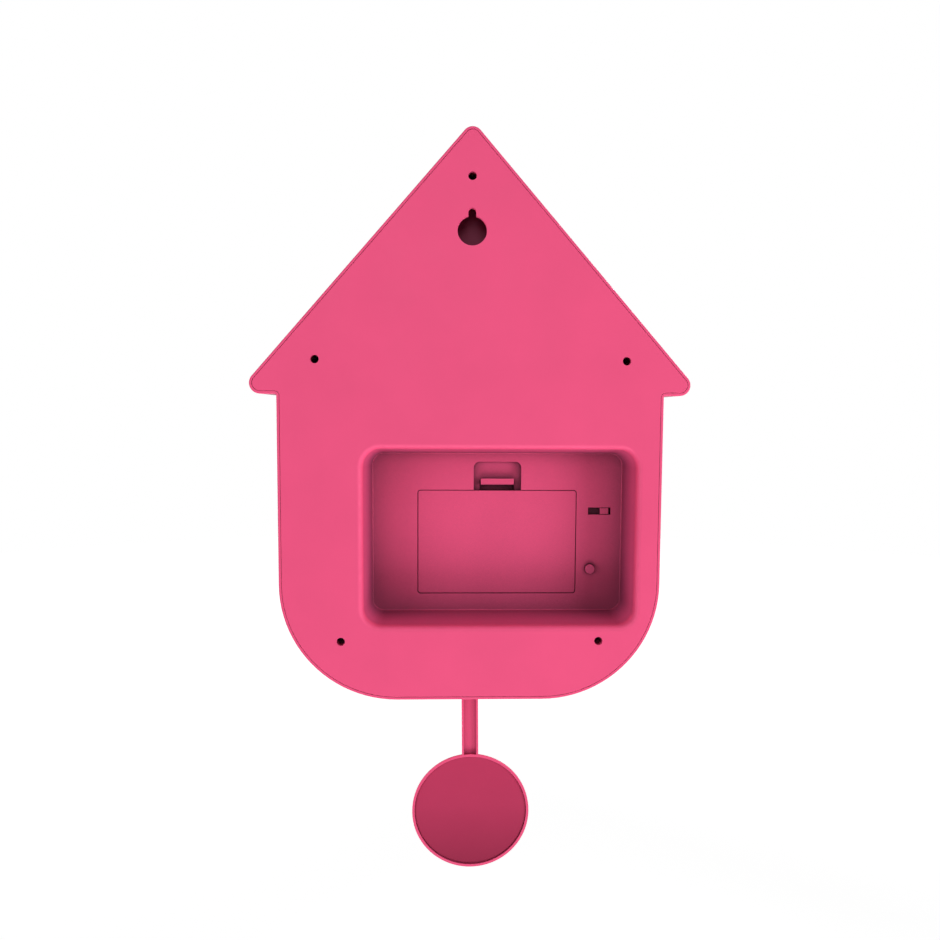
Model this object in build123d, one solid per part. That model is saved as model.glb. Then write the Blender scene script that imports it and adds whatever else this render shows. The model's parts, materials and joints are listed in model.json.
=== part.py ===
from build123d import *
import os
from math import asin, atan2, cos, degrees, pi, radians, sin, tan

# House-shaped cuckoo clock in pink plastic, hung on a wall by a keyhole.
# Millimetres, +Z up, front towards -Y, wall on the +Y side.
# The origin is where the wall screw carries the keyhole, on the back face.
# A depth counts from the back face towards the front, so y = -depth.

# Small hardware
COVER_SCREW_SHANK = 1.3
COVER_SCREW_LENGTH = 17.0
SMALL_SHANK = 1.0
SMALL_HEAD_RADIUS = 2.4
SMALL_HEAD_HEIGHT = 1.6
HEAD_HEIGHT = 1.8
BOSS_RADIUS = 3.2
CONTACT_SHEET = 0.4
REVERSE_POST = 0.9
ARBOR_PIVOT = 0.75
SPRING_LENGTH = 6.0
SPRING_RADIUS = 1.4
MOTOR_BOSS = 3.0
MOTOR_SCREW_SPREAD = 6.5

# House
HOUSE_WIDTH = 211.0
EAVE_OVERHANG = 21.56
APEX_Z = 47.5
EAVE_Z = -97.3
BOTTOM_Z = -267.1
ROOF_PITCH = degrees(atan2(APEX_Z - EAVE_Z, HOUSE_WIDTH / 2 + EAVE_OVERHANG))
APEX_RADIUS = 5.6
EAVE_RADIUS = 5.8
CREASE_RADIUS = 1.0
BOTTOM_RADIUS = 65.0
DEPTH = 100.0
WALL = 2.5
FRONT_EDGE_RADIUS = 4.0
BACK_EDGE_RADIUS = 0.7
FRONT_INNER = DEPTH - WALL

# Fits
RUNNING_FIT = 0.05
SEAT_FIT = 0.02
SLIDE_GAP = 0.3
SCREW_ROOM = 0.1
PART_FIT = 0.1

# Back cover
COVER_THICKNESS = 2.5
COVER_LIP = 1.5
COVER_GAP = 0.12
COVER_EDGE_RADIUS = 0.4
TOP_SCREW_Z = 18.8
EAVE_SCREW_INSET = 20.8
EAVE_SCREW_RISE = 18.7
BOTTOM_SCREW_INSET = 33.8
BOTTOM_SCREW_RISE = 33.2
TUBE_RADIUS = 4.0
TUBE_BORE = 2.3
TUBE_DEPTH = 40.0
TUBE_FLOOR = 3.0

# Keyhole for the wall screw
KEY_RADIUS = 7.9
KEY_DROP = 9.8
KEY_SLOT_RADIUS = 2.1
KEY_POCKET_WIDTH = 24.0
KEY_POCKET_TOP = 7.0
KEY_POCKET_BOTTOM = -21.5
KEY_POCKET_DEPTH = 20.0
POCKET_WALL = 1.6

# Battery compartment and door
CELL_RADIUS = 13.1
CELL_LENGTH = 50.0
CELL_GAP = 2.3
CELL_SIDE_ROOM = 2.4
CONTACT_ROOM = 5.5
CELL_NUB_RADIUS = 3.3
CELL_NUB_HEIGHT = 1.5
CELL_PITCH = 2 * CELL_RADIUS + CELL_GAP
BATTERY_X = -16.1
BATTERY_Z = -182.7
BATTERY_WALL = 1.8
BATTERY_WIDTH = 2 * (CELL_PITCH + CELL_RADIUS + CELL_SIDE_ROOM)
BATTERY_HEIGHT = CELL_LENGTH + CONTACT_ROOM
LID_RAISE = 0.6
LID_SIDE_LAP = 2.05
LID_END_LAP = 2.45
LID_THICKNESS = 2.2
LID_GAP = 0.3
LID_ROOM = 0.6
LID_CORNER = 1.5
LID_EDGE_RADIUS = 0.4
LID_Z = BATTERY_Z + LID_RAISE
LID_WIDTH = BATTERY_WIDTH + 2 * LID_SIDE_LAP
LID_HEIGHT = BATTERY_HEIGHT + 2 * LID_END_LAP
LID_LEFT = BATTERY_X - LID_WIDTH / 2
LID_BOTTOM = LID_Z - LID_HEIGHT / 2
LID_TOP = LID_Z + LID_HEIGHT / 2
TAB_WIDTH = 8.0
TAB_SPREAD = 28.0
TAB_REACH = 2.7
TAB_ROOT = 4.5
TAB_HEEL = 0.6
TAB_THICKNESS = 1.7
TAB_CLEARANCE = 0.4
TAB_SIDE_GAP = 0.6
TAB_END_GAP = 1.1
TAB_SWING_ROOM = 4.0

# Well in the back cover, round the battery door
WELL_SIDE_ROOM = 26.45
WELL_TOP_ROOM = 21.7
WELL_BOTTOM_ROOM = 10.1
WELL_DEPTH = 24.6
WELL_DRAFT = 8.6
WELL_RIM_CORNER = 10.5
WELL_RIM_RADIUS = 3.0
WELL_FLOOR_RADIUS = 0.6
WELL_WALL = 2.2
WELL_FLOOR = 4.0
WELL_X = BATTERY_X - 0.2
WELL_Z = LID_Z + (WELL_TOP_ROOM - WELL_BOTTOM_ROOM) / 2
WELL_WIDTH = LID_WIDTH + 2 * WELL_SIDE_ROOM
WELL_HEIGHT = LID_HEIGHT + WELL_TOP_ROOM + WELL_BOTTOM_ROOM
FLOOR_INSIDE = WELL_DEPTH + WELL_FLOOR
CELL_DEPTH = WELL_DEPTH + LID_THICKNESS + LID_ROOM + CELL_RADIUS
BATTERY_FLOOR = CELL_DEPTH + CELL_RADIUS + 0.3

# Finger latch of the battery door
LATCH_POCKET_WIDTH = 27.6
LATCH_POCKET_HEIGHT = 16.7
LATCH_POCKET_DEPTH = 3.4
LATCH_POCKET_CORNER = 3.5
LATCH_SIDE_GAP = 0.6
LATCH_INSET = 1.8
LATCH_BEND_RADIUS = 1.2
LATCH_WIDTH = 19.2
LATCH_STRIP = 1.4
LATCH_GAP = 3.3
LATCH_PAD = 3.1
LATCH_PAD_RISE = 0.4
LATCH_REACH = 9.8
LATCH_ROOM = 1.2

# Slide switch and push button beside the battery door
SWITCH_X = LID_LEFT - 16.6
SWITCH_Z = LID_Z + 18.2
SWITCH_TRAVEL = 5.9
KNOB_WIDTH = 5.1
KNOB_HEIGHT = 3.7
KNOB_SIDE_GAP = 0.25
KNOB_SINK = 0.1
KNOB_EDGE_RADIUS = 0.4
SWITCH_END_GAP = 1.1
SWITCH_PLATE = 1.1
LEVER_HALF = 1.5
BUTTON_X = LID_LEFT - 8.45
BUTTON_Z = LID_Z - 15.8
BUTTON_RADIUS = 2.9
BUTTON_TRAVEL = 0.9
BUTTON_PROUD = 2.2
BUTTON_GAP = 0.3
BUTTON_EDGE_RADIUS = 0.5
BUTTON_FLANGE = 1.3
BUTTON_STEM = 2.0
KEY_HEIGHT = 4.0
KEY_BODY = 3.4
KEY_HALF = 3.0
KEY_TOP_RADIUS = 1.7

# Circuit board
BOARD_STANDOFF = 7.4
BOARD_DEPTH = FLOOR_INSIDE + BOARD_STANDOFF
BOARD_THICKNESS = 1.6
POST_RADIUS = 2.8
BOARD_SCREW_LENGTH = 6.0
BOARD_WIDTH = 26.0
BOARD_HEIGHT = 63.0
BOARD_RIGHT = LID_LEFT - 1.85
BOARD_LEFT = BOARD_RIGHT - BOARD_WIDTH
BOARD_TOP = LID_Z + 30.1
BOARD_BOTTOM = BOARD_TOP - BOARD_HEIGHT
BOARD_POSTS = ((BOARD_LEFT + 4.0, BOARD_TOP - 30.0), (BOARD_RIGHT - 4.5, BOARD_BOTTOM + 4.5))
SOCKET_DROPS = (5.0, 18.0, 32.0)

# Clock movement, dial and hands
DIAL_Z = -180.0
DIAL_RADIUS = 64.0
DIAL_THICKNESS = 2.2
DIAL_STANDOFF = 1.0
DIAL_EDGE_RADIUS = 0.8
DIAL_HUB_RADIUS = 40.0
MARK_THICKNESS = 0.8
MARK_INSET = 5.0
QUARTER_MARK = (4.0, 12.0)
HOUR_MARK = (2.6, 7.5)
MOVEMENT_SIZE = 56.0
MOVEMENT_WALL = 1.6
MOVEMENT_CORNER = 4.0
MOVEMENT_DEPTH = 15.0
GASKET = 1.0
GASKET_RADIUS = 11.0
RIB_THICKNESS = 2.0
RIB_HEIGHT = 5.0
RIB_Z = (DIAL_Z - 4.0, DIAL_Z + 12.0)
BUSH_RADIUS = 4.0
BUSH_BORE = 2.6
HOUR_PIPE_RADIUS = 2.5
ARBOR_RADIUS = 1.7
MOTION_DISTANCE = 12.0
CANNON_TEETH = 12
REVERSE_TEETH = 36
REVERSE_PINION_TEETH = 10
HOUR_TEETH = 40
NUT_THICKNESS = 1.8
NUT_RADIUS = 6.2
HAND_THICKNESS = 1.0
HAND_GAP = 0.7
HAND_HUB_RADIUS = 4.6
CAP_HEIGHT = 2.2
CAP_EDGE_RADIUS = 1.4
HOUR_HAND_LENGTH = 34.0
HOUR_HAND_WIDTH = 5.0
HOUR_HAND_TAIL = 8.0
MINUTE_HAND_LENGTH = 50.0
MINUTE_HAND_WIDTH = 3.6
MINUTE_HAND_TAIL = 12.0
SHOWN_HOUR = 10
SHOWN_MINUTE = 9

# Bird doors
DOORWAY_WIDTH = 46.0
DOORWAY_HEIGHT = 52.0
DOORWAY_Z = -54.0
FRAME_SLEEVE = 2.0
FRAME_BEZEL = 5.0
FRAME_PROUD = 1.5
FRAME_CORNER = 2.0
FRAME_EDGE_RADIUS = 0.8
LEAF_THICKNESS = 2.6
KNUCKLE_RADIUS = 1.6
HINGE_PIN_RADIUS = 0.7
HINGE_PIN_BITE = 1.5
HINGE_X = DOORWAY_WIDTH / 2 - SLIDE_GAP - KNUCKLE_RADIUS
HINGE_DEPTH = DEPTH - 0.4

# Bird drive
BIRD_TRAVEL = 45.0
CHASSIS_THICKNESS = 2.0
CHASSIS_TOP = DOORWAY_Z - DOORWAY_HEIGHT / 2 + 2.0
CHASSIS_REAR = DEPTH - 93.0
FLANGE_THICKNESS = 2.5
FLANGE_BOSS = 4.0
FLANGE_FRONT = FRONT_INNER - FLANGE_BOSS
FLANGE_SCREW_X = DOORWAY_WIDTH / 2 + 6.0
FLANGE_SCREW_Z = (-36.0, -72.0)
SLED_THICKNESS = 3.2
SLED_RIGHT = 13.0
SLED_TONGUE = 9.0
RACK_X = -16.0
RACK_MODULE = 1.0
RACK_PINION_TEETH = 12
RACK_WHEEL_TEETH = 30
RACK_WHEEL_MODULE = 0.7
IDLER_PINION_TEETH = 10
IDLER_WHEEL_TEETH = 30
IDLER_MODULE = 0.6
MOTOR_PINION_TEETH = 10
GEAR_DEPTH = DEPTH - 42.0
GEAR_WIDTH = 2.0
GEAR_GAP = 0.4
AXLE_RADIUS = 1.25
MOTOR_RADIUS = 10.0
MOTOR_LENGTH = 25.0
MOTOR_SHAFT_RADIUS = 1.0
RACK_GEAR_X = RACK_X - RACK_MODULE * RACK_PINION_TEETH / 2
IDLER_X = RACK_GEAR_X - RACK_WHEEL_MODULE * (RACK_WHEEL_TEETH + IDLER_PINION_TEETH) / 2
MOTOR_X = IDLER_X - IDLER_MODULE * (IDLER_WHEEL_TEETH + MOTOR_PINION_TEETH) / 2
SLED_BOTTOM = CHASSIS_TOP + SLIDE_GAP
SLED_TOP = SLED_BOTTOM + SLED_THICKNESS
SLED_REAR = CHASSIS_REAR + 2.0
SLED_FRONT = SLED_REAR + 71.0
WHEEL_Z = SLED_TOP + GEAR_GAP
IDLER_WHEEL_Z = WHEEL_Z + GEAR_WIDTH + GEAR_GAP
FOOT_LENGTH = 4.0
FOOT_DEPTHS = (SLED_REAR + 5.0, SLED_REAR + 21.0)

# Bird
BIRD_DEPTH = DEPTH - 44.0
BIRD_Z = DOORWAY_Z
HEAD_RADIUS = 9.5

# Pendulum
PIVOT_Z = -112.0
PENDULUM_ROOM = 6.3
PENDULUM_DEPTH = BATTERY_FLOOR + BATTERY_WALL + PENDULUM_ROOM
ROD_WIDTH = 10.5
ROD_THICKNESS = 5.5
ROD_FRONT = PENDULUM_DEPTH + ROD_THICKNESS
ROD_RIM = 1.3
ROD_CHANNEL = 2.4
ROD_LAP = 6.0
ROD_SIDE_ROOM = 1.5
ROD_FACE_ROOM = 2.0
BOB_Z = -364.9
BOB_RADIUS = 37.8
BOB_RIM = 1.6
BOB_EDGE = 1.2
BOB_DOME = 14.8
BOB_FLOOR = 2.0
PLATE_SINK = 0.9
PLATE_THICKNESS = 1.4
PLATE_GAP = 0.3
PLATE_LEDGE = 1.5
PLATE_EDGE_RADIUS = 0.3
PLATE_RADIUS = BOB_RADIUS - BOB_RIM - PLATE_GAP
SHOWN_SWING = 0.6
PIVOT_RADIUS = 1.5
EYE_RADIUS = 6.5
SWING = 6.0
MAGNET_Z = -195.0
MAGNET_RADIUS = 4.5
MAGNET_THICKNESS = 3.5
COIL_RADIUS = 9.0
COIL_BORE = 3.0
COIL_GAP = 1.5
BRACKET_BOSS = 5.0
BRACKET_SCREW_X = 14.0
BRACKET_SCREW_LENGTH = 6.5
BRACKET_PLATE = (2 * BRACKET_SCREW_X + 10.0, 13.0)
BRACKET_SHEET = 3.0
BRACKET_HUB = 5.0
BRACKET_GAP = 1.0
PIN_BITE = 12.0
PIN_HEAD_RADIUS = 3.2
PIN_HEAD_GAP = 1.6

# Loudspeaker
SPEAKER_X = -54.0
SPEAKER_Z = -205.0
SPEAKER_RADIUS = 20.0
SPEAKER_RIM = 2.0
SPEAKER_FUNNEL = 8.5
SPEAKER_PLATE = 1.5
SPEAKER_WALL = 2.5
SPEAKER_BACK_RADIUS = 12.0
SPEAKER_MAGNET = 6.0
CONE_SHEET = 0.8
RING_WALL = 2.0
RING_HEIGHT = 3.0
SOUND_HOLE_RADIUS = 1.8
SOUND_HOLE_INSETS = (18.0, 10.0)
SOUND_HOLE_STEP = 10.0

# Gear teeth, as shares of the module and of the tooth pitch
ADDENDUM = 0.8
DEDENDUM = 1.2
ROOT_SHARE = 0.28
TIP_SHARE = 0.10


def slab(face, depth, thickness):
    """Plate parallel to the back face, its rear side at a depth."""
    return extrude(Plane.XZ.offset(depth) * face, amount=thickness)


def disc(x, z, radius, depth, length):
    """Round bar along the depth."""
    return slab(Pos(x, z) * Circle(radius), depth, length)


def block(across, upright, depths):
    """Box between two x values, two z values and two depths."""
    size = (across[1] - across[0], depths[1] - depths[0], upright[1] - upright[0])
    centre = (sum(across) / 2, -sum(depths) / 2, sum(upright) / 2)
    return Pos(*centre) * Box(*size)


def column(x, depth, radius, bottom, top):
    """Round bar standing upright."""
    return Pos(x, -depth, (bottom + top) / 2) * Cylinder(radius, top - bottom)


def turned(points, x=0.0, z=0.0):
    """Solid turned about an axis along the depth, from radius and depth pairs."""
    profile = Polyline(*[(radius, -depth) for radius, depth in points], close=True)
    return Pos(x, 0, z) * revolve(make_face(profile), Axis.Y)


def rounded_corners(face, corners, radius):
    """Face with the named corners rounded."""
    picked = [face.vertices().sort_by_distance((x, z, 0))[0] for x, z in corners]
    return fillet(picked, radius)


def house_face(inset=0.0):
    """Outline of the house, drawn in from the outside by an inset."""
    half = HOUSE_WIDTH / 2 - inset
    eave_z = EAVE_Z + inset
    bottom_z = BOTTOM_Z + inset
    apex_z = APEX_Z - inset / cos(radians(ROOF_PITCH))
    eave_x = (apex_z - eave_z) / tan(radians(ROOF_PITCH))
    right = [(eave_x, eave_z), (half, eave_z), (half, bottom_z)]
    left = [(-x, z) for x, z in reversed(right)]
    face = make_face(Polyline((0, apex_z), *right, *left, close=True))
    face = rounded_corners(face, [(0, apex_z)], APEX_RADIUS - inset)
    face = rounded_corners(face, [(eave_x, eave_z), (-eave_x, eave_z)], EAVE_RADIUS - inset)
    face = rounded_corners(face, [(half, eave_z), (-half, eave_z)], CREASE_RADIUS + inset)
    return rounded_corners(face, [(half, bottom_z), (-half, bottom_z)], BOTTOM_RADIUS - inset)


def cover_screw_points():
    """Places of the five cover screws."""
    eave_x = HOUSE_WIDTH / 2 - EAVE_SCREW_INSET
    bottom_x = HOUSE_WIDTH / 2 - BOTTOM_SCREW_INSET
    points = [(0, TOP_SCREW_Z)]
    for side in (-1, 1):
        points.append((side * eave_x, EAVE_Z + EAVE_SCREW_RISE))
        points.append((side * bottom_x, BOTTOM_Z + BOTTOM_SCREW_RISE))
    return points


def screw(head_radius, head_height, shank_radius, length):
    """Cross-head screw standing on its shank, head underside at the origin."""
    head = Pos(0, 0, head_height / 2) * Cylinder(head_radius, head_height)
    shank = Pos(0, 0, -length / 2) * Cylinder(shank_radius, length)
    slot = Box(head_radius * 1.3, head_radius * 0.3, head_height * 1.2)
    cross = Pos(0, 0, head_height) * (slot + Rot(0, 0, 90) * slot)
    return head + shank - cross


def gear_face(teeth, module, phase=0.0):
    """Spur gear outline with straight-sided teeth, one of them centred on the phase angle."""
    pitch_radius = module * teeth / 2
    root = pitch_radius - DEDENDUM * module
    tip = pitch_radius + ADDENDUM * module
    step = 360.0 / teeth
    points = []
    for tooth in range(teeth):
        centre = phase + tooth * step
        for radius, share in ((root, -ROOT_SHARE), (tip, -TIP_SHARE), (tip, TIP_SHARE), (root, ROOT_SHARE)):
            angle = radians(centre + share * step)
            points.append((radius * cos(angle), radius * sin(angle)))
    return make_face(Polyline(*points, close=True))


def upright_gear(teeth, module, x, bottom, height, phase=0.0):
    """Gear on an upright axle of the bird drive."""
    return extrude(Pos(x, -GEAR_DEPTH, bottom) * gear_face(teeth, module, phase), amount=height)


def front_housing():
    shell = slab(house_face(), 0, DEPTH)
    shell = fillet(shell.faces().sort_by(Axis.Y)[0].edges(), FRONT_EDGE_RADIUS)
    shell = fillet(shell.faces().sort_by(Axis.Y)[-1].edges(), BACK_EDGE_RADIUS)
    shell -= slab(house_face(WALL), -1, FRONT_INNER + 1)
    shell -= slab(house_face(COVER_LIP), -1, COVER_THICKNESS + 1)
    shell -= slab(doorway_face(FRAME_SLEEVE + PART_FIT / 2), FRONT_INNER - 1, WALL + 2)
    shell -= disc(0, DIAL_Z, BUSH_RADIUS + 2 * PART_FIT, FRONT_INNER - 1, WALL + 2)
    for x, z in sound_hole_points():
        shell -= disc(x, z, SOUND_HOLE_RADIUS, FRONT_INNER - 1, WALL + 2)
    half_slot = (PIVOT_Z - BOTTOM_Z) * tan(radians(SWING)) + ROD_WIDTH / 2 + ROD_SIDE_ROOM
    slot_depths = (PENDULUM_DEPTH - ROD_FACE_ROOM, ROD_FRONT + ROD_FACE_ROOM)
    shell -= block((-half_slot, half_slot), (BOTTOM_Z - 1, BOTTOM_Z + WALL + 1), slot_depths)
    for x, z in cover_screw_points():
        shell += disc(x, z, TUBE_RADIUS, TUBE_DEPTH, FRONT_INNER - TUBE_DEPTH)
        shell -= disc(x, z, COVER_SCREW_SHANK + SEAT_FIT, TUBE_DEPTH - 1, COVER_SCREW_LENGTH)
    for x, z in flange_screw_points():
        shell += disc(x, z, BOSS_RADIUS, FLANGE_FRONT, FLANGE_BOSS)
        shell -= disc(x, z, SMALL_SHANK + SEAT_FIT, FLANGE_FRONT - 1, FLANGE_BOSS + 0.5)
    for x in (-BRACKET_SCREW_X, BRACKET_SCREW_X):
        shell += disc(x, PIVOT_Z, BOSS_RADIUS, FRONT_INNER - BRACKET_BOSS, BRACKET_BOSS)
        shell -= disc(x, PIVOT_Z, SMALL_SHANK + SEAT_FIT, FRONT_INNER - BRACKET_BOSS - 1, BRACKET_BOSS)
    ring = Circle(SPEAKER_RADIUS + RING_WALL) - Circle(SPEAKER_RADIUS + PART_FIT)
    shell += slab(Pos(SPEAKER_X, SPEAKER_Z) * ring, FRONT_INNER - RING_HEIGHT, RING_HEIGHT)
    for side in (-1, 1):
        inner = side * (MOVEMENT_SIZE / 2 + PART_FIT)
        across = sorted((inner, inner + side * RIB_THICKNESS))
        shell += block(across, RIB_Z, (FRONT_INNER - RIB_HEIGHT, FRONT_INNER))
    return shell


def doorway_face(margin):
    """Outline of the bird's doorway, widened by a margin all round."""
    return Pos(0, DOORWAY_Z) * Rectangle(DOORWAY_WIDTH + 2 * margin, DOORWAY_HEIGHT + 2 * margin)


def sound_hole_points():
    """Sound holes behind the dial, in front of the loudspeaker."""
    points = []
    towards = atan2(SPEAKER_Z - DIAL_Z, SPEAKER_X)
    for inset in SOUND_HOLE_INSETS:
        radius = DIAL_RADIUS - inset
        for turn in (-1, 0, 1):
            angle = towards + radians(SOUND_HOLE_STEP * turn)
            points.append((radius * cos(angle), DIAL_Z + radius * sin(angle)))
    return points


def flange_screw_points():
    """Screws that hold the chassis to the front wall."""
    return [(side * FLANGE_SCREW_X, z) for side in (-1, 1) for z in FLANGE_SCREW_Z]


def back_cover():
    plate = slab(house_face(COVER_LIP + COVER_GAP), 0, COVER_THICKNESS)
    plate = fillet(plate.faces().sort_by(Axis.Y)[-1].edges(), COVER_EDGE_RADIUS)
    spread = 2 * WELL_DEPTH * tan(radians(WELL_DRAFT))
    rim_width = WELL_WIDTH + spread
    rim_height = WELL_HEIGHT + spread
    place = Pos(WELL_X, WELL_Z)
    rim = place * RectangleRounded(rim_width, rim_height, WELL_RIM_CORNER)
    outer_size = (rim_width + 2 * WELL_WALL, rim_height + 2 * WELL_WALL)
    outer = RectangleRounded(*outer_size, WELL_RIM_CORNER + WELL_WALL)
    hollow = extrude(Plane.XZ * rim, amount=WELL_DEPTH, taper=WELL_DRAFT)
    hollow = fillet(hollow.faces().sort_by(Axis.Y)[0].edges(), WELL_FLOOR_RADIUS)
    tub = extrude(Plane.XZ * (place * outer), amount=FLOOR_INSIDE, taper=WELL_DRAFT)
    cover = plate + tub - hollow
    rim_edges = cover.faces().sort_by(Axis.Y)[-1].inner_wires()[0].edges()
    cover = fillet(rim_edges, WELL_RIM_RADIUS)
    cover += battery_box()
    cover -= battery_hollow()
    for x, z in cover_screw_points():
        cover += disc(x, z, TUBE_RADIUS, COVER_THICKNESS, TUBE_DEPTH - COVER_THICKNESS)
        cover -= disc(x, z, TUBE_BORE, -1, TUBE_DEPTH - TUBE_FLOOR + 1)
        cover -= disc(x, z, COVER_SCREW_SHANK + SCREW_ROOM, 0, TUBE_DEPTH + 1)
    cover += key_pocket()
    keyhole = Pos(0, -KEY_DROP) * Circle(KEY_RADIUS) + Circle(KEY_SLOT_RADIUS)
    keyhole += Pos(0, -KEY_DROP / 2) * Rectangle(2 * KEY_SLOT_RADIUS, KEY_DROP)
    cover -= slab(keyhole, -1, COVER_THICKNESS + 1.5)
    slot_width = KNOB_WIDTH + SWITCH_TRAVEL + 2 * SWITCH_END_GAP
    slot = Rectangle(slot_width, KNOB_HEIGHT + 2 * KNOB_SIDE_GAP)
    slot_x = SWITCH_X + SWITCH_TRAVEL / 2
    cover -= slab(Pos(slot_x, SWITCH_Z) * slot, WELL_DEPTH - 1, WELL_FLOOR + 2)
    cover -= disc(BUTTON_X, BUTTON_Z, BUTTON_RADIUS + BUTTON_GAP, WELL_DEPTH - 1, WELL_FLOOR + 2)
    for x, z in BOARD_POSTS:
        cover += disc(x, z, POST_RADIUS, FLOOR_INSIDE, BOARD_DEPTH - FLOOR_INSIDE)
        cover -= disc(x, z, SMALL_SHANK + SEAT_FIT, FLOOR_INSIDE + 1, BOARD_DEPTH)
    return cover


def key_pocket():
    """Closed pocket that keeps the wall screw's head out of the works."""
    inner_x = KEY_POCKET_WIDTH / 2
    outer_x = inner_x + POCKET_WALL
    outer_z = (KEY_POCKET_BOTTOM - POCKET_WALL, KEY_POCKET_TOP + POCKET_WALL)
    pocket = block((-outer_x, outer_x), outer_z, (COVER_THICKNESS, KEY_POCKET_DEPTH + POCKET_WALL))
    inside_z = (KEY_POCKET_BOTTOM, KEY_POCKET_TOP)
    return pocket - block((-inner_x, inner_x), inside_z, (COVER_THICKNESS, KEY_POCKET_DEPTH))


def battery_box():
    """Walls of the battery compartment and of the latch pocket, inside the well's floor."""
    half_x = BATTERY_WIDTH / 2 + BATTERY_WALL
    half_z = BATTERY_HEIGHT / 2 + BATTERY_WALL
    across = (BATTERY_X - half_x, BATTERY_X + half_x)
    upright = (BATTERY_Z - half_z, BATTERY_Z + half_z)
    box = block(across, upright, (FLOOR_INSIDE - 1, BATTERY_FLOOR + BATTERY_WALL))
    latch_x = LATCH_POCKET_WIDTH / 2 + POCKET_WALL
    latch_z = (BATTERY_Z + half_z - 1, LID_TOP + LATCH_POCKET_HEIGHT + POCKET_WALL)
    latch_floor = WELL_DEPTH + LID_THICKNESS + LATCH_REACH + LATCH_ROOM + POCKET_WALL
    return box + block((BATTERY_X - latch_x, BATTERY_X + latch_x), latch_z, (FLOOR_INSIDE - 1, latch_floor))


def battery_hollow():
    """Room for the cells, the door, its latch and its hinge tabs."""
    room = Rectangle(BATTERY_WIDTH, BATTERY_HEIGHT)
    hollow = slab(Pos(BATTERY_X, BATTERY_Z) * room, WELL_DEPTH - 1, BATTERY_FLOOR - WELL_DEPTH + 1)
    rebate = RectangleRounded(LID_WIDTH + 2 * LID_GAP, LID_HEIGHT + 2 * LID_GAP, LID_CORNER + LID_GAP)
    hollow += slab(Pos(BATTERY_X, LID_Z) * rebate, WELL_DEPTH - 1, LID_THICKNESS + 1.1)
    scoop = Rectangle(LATCH_POCKET_WIDTH, LATCH_POCKET_HEIGHT + 2)
    scoop = fillet(scoop.vertices().group_by(Axis.Y)[-1], LATCH_POCKET_CORNER)
    scoop_z = LID_TOP + LATCH_POCKET_HEIGHT / 2 - 1
    hollow += slab(Pos(BATTERY_X, scoop_z) * scoop, WELL_DEPTH - 1, LATCH_POCKET_DEPTH + 1)
    tongue_x = LATCH_WIDTH / 2 + LATCH_SIDE_GAP
    tongue_z = (LID_TOP - LATCH_INSET - 0.4, LID_TOP + LATCH_GAP + LATCH_STRIP + LATCH_ROOM)
    tongue_depths = (WELL_DEPTH, WELL_DEPTH + LID_THICKNESS + LATCH_REACH + LATCH_ROOM)
    hollow += block((BATTERY_X - tongue_x, BATTERY_X + tongue_x), tongue_z, tongue_depths)
    for side in (-1, 1):
        middle = BATTERY_X + side * TAB_SPREAD
        half = TAB_WIDTH / 2 + TAB_SIDE_GAP
        upright = (LID_BOTTOM - TAB_REACH - TAB_END_GAP, LID_BOTTOM + TAB_ROOT + TAB_END_GAP)
        depths = (WELL_DEPTH + LID_THICKNESS - 0.1, FLOOR_INSIDE + TAB_SWING_ROOM)
        hollow += block((middle - half, middle + half), upright, depths)
    return hollow


def battery_door():
    face = Pos(BATTERY_X, LID_Z) * RectangleRounded(LID_WIDTH, LID_HEIGHT, LID_CORNER)
    lid = slab(face, WELL_DEPTH, LID_THICKNESS)
    lid = fillet(lid.faces().sort_by(Axis.Y)[-1].edges(), LID_EDGE_RADIUS)
    inside = WELL_DEPTH + LID_THICKNESS
    for side in (-1, 1):
        middle = BATTERY_X + side * TAB_SPREAD
        across = (middle - TAB_WIDTH / 2, middle + TAB_WIDTH / 2)
        root = (LID_BOTTOM + TAB_HEEL, LID_BOTTOM + TAB_ROOT)
        lid += block(across, root, (inside - 0.5, inside + TAB_THICKNESS))
        hook = (LID_BOTTOM - TAB_REACH, LID_BOTTOM + TAB_HEEL)
        lid += block(across, hook, (inside + TAB_CLEARANCE, inside + TAB_THICKNESS))
    return lid + latch_tongue()


def latch_tongue():
    """Springy U on the door's top edge, ending in a pad for the finger."""
    inside = WELL_DEPTH + LID_THICKNESS
    across = (BATTERY_X - LATCH_WIDTH / 2, BATTERY_X + LATCH_WIDTH / 2)
    near = (LID_TOP - LATCH_INSET, LID_TOP - LATCH_INSET + LATCH_STRIP)
    far = (LID_TOP + LATCH_GAP, LID_TOP + LATCH_GAP + LATCH_STRIP)
    end = inside + LATCH_REACH
    tongue = block(across, near, (inside - 0.5, end))
    tongue += block(across, (near[0], far[1]), (end - LATCH_STRIP, end))
    tongue += block(across, far, (WELL_DEPTH + 1.0, end))
    tongue = fillet(tongue.edges().filter_by(Axis.X).group_by(Axis.Y)[0], LATCH_BEND_RADIUS)
    pad_low = LID_TOP + LATCH_GAP + LATCH_PAD_RISE
    pad_z = (pad_low, pad_low + LATCH_PAD)
    return tongue + block(across, pad_z, (WELL_DEPTH + 0.6, WELL_DEPTH + 2.0))


def cell_places():
    """X of each cell and whether its nub points up."""
    return [(BATTERY_X + n * CELL_PITCH, n != 0) for n in (-1, 0, 1)]


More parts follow.
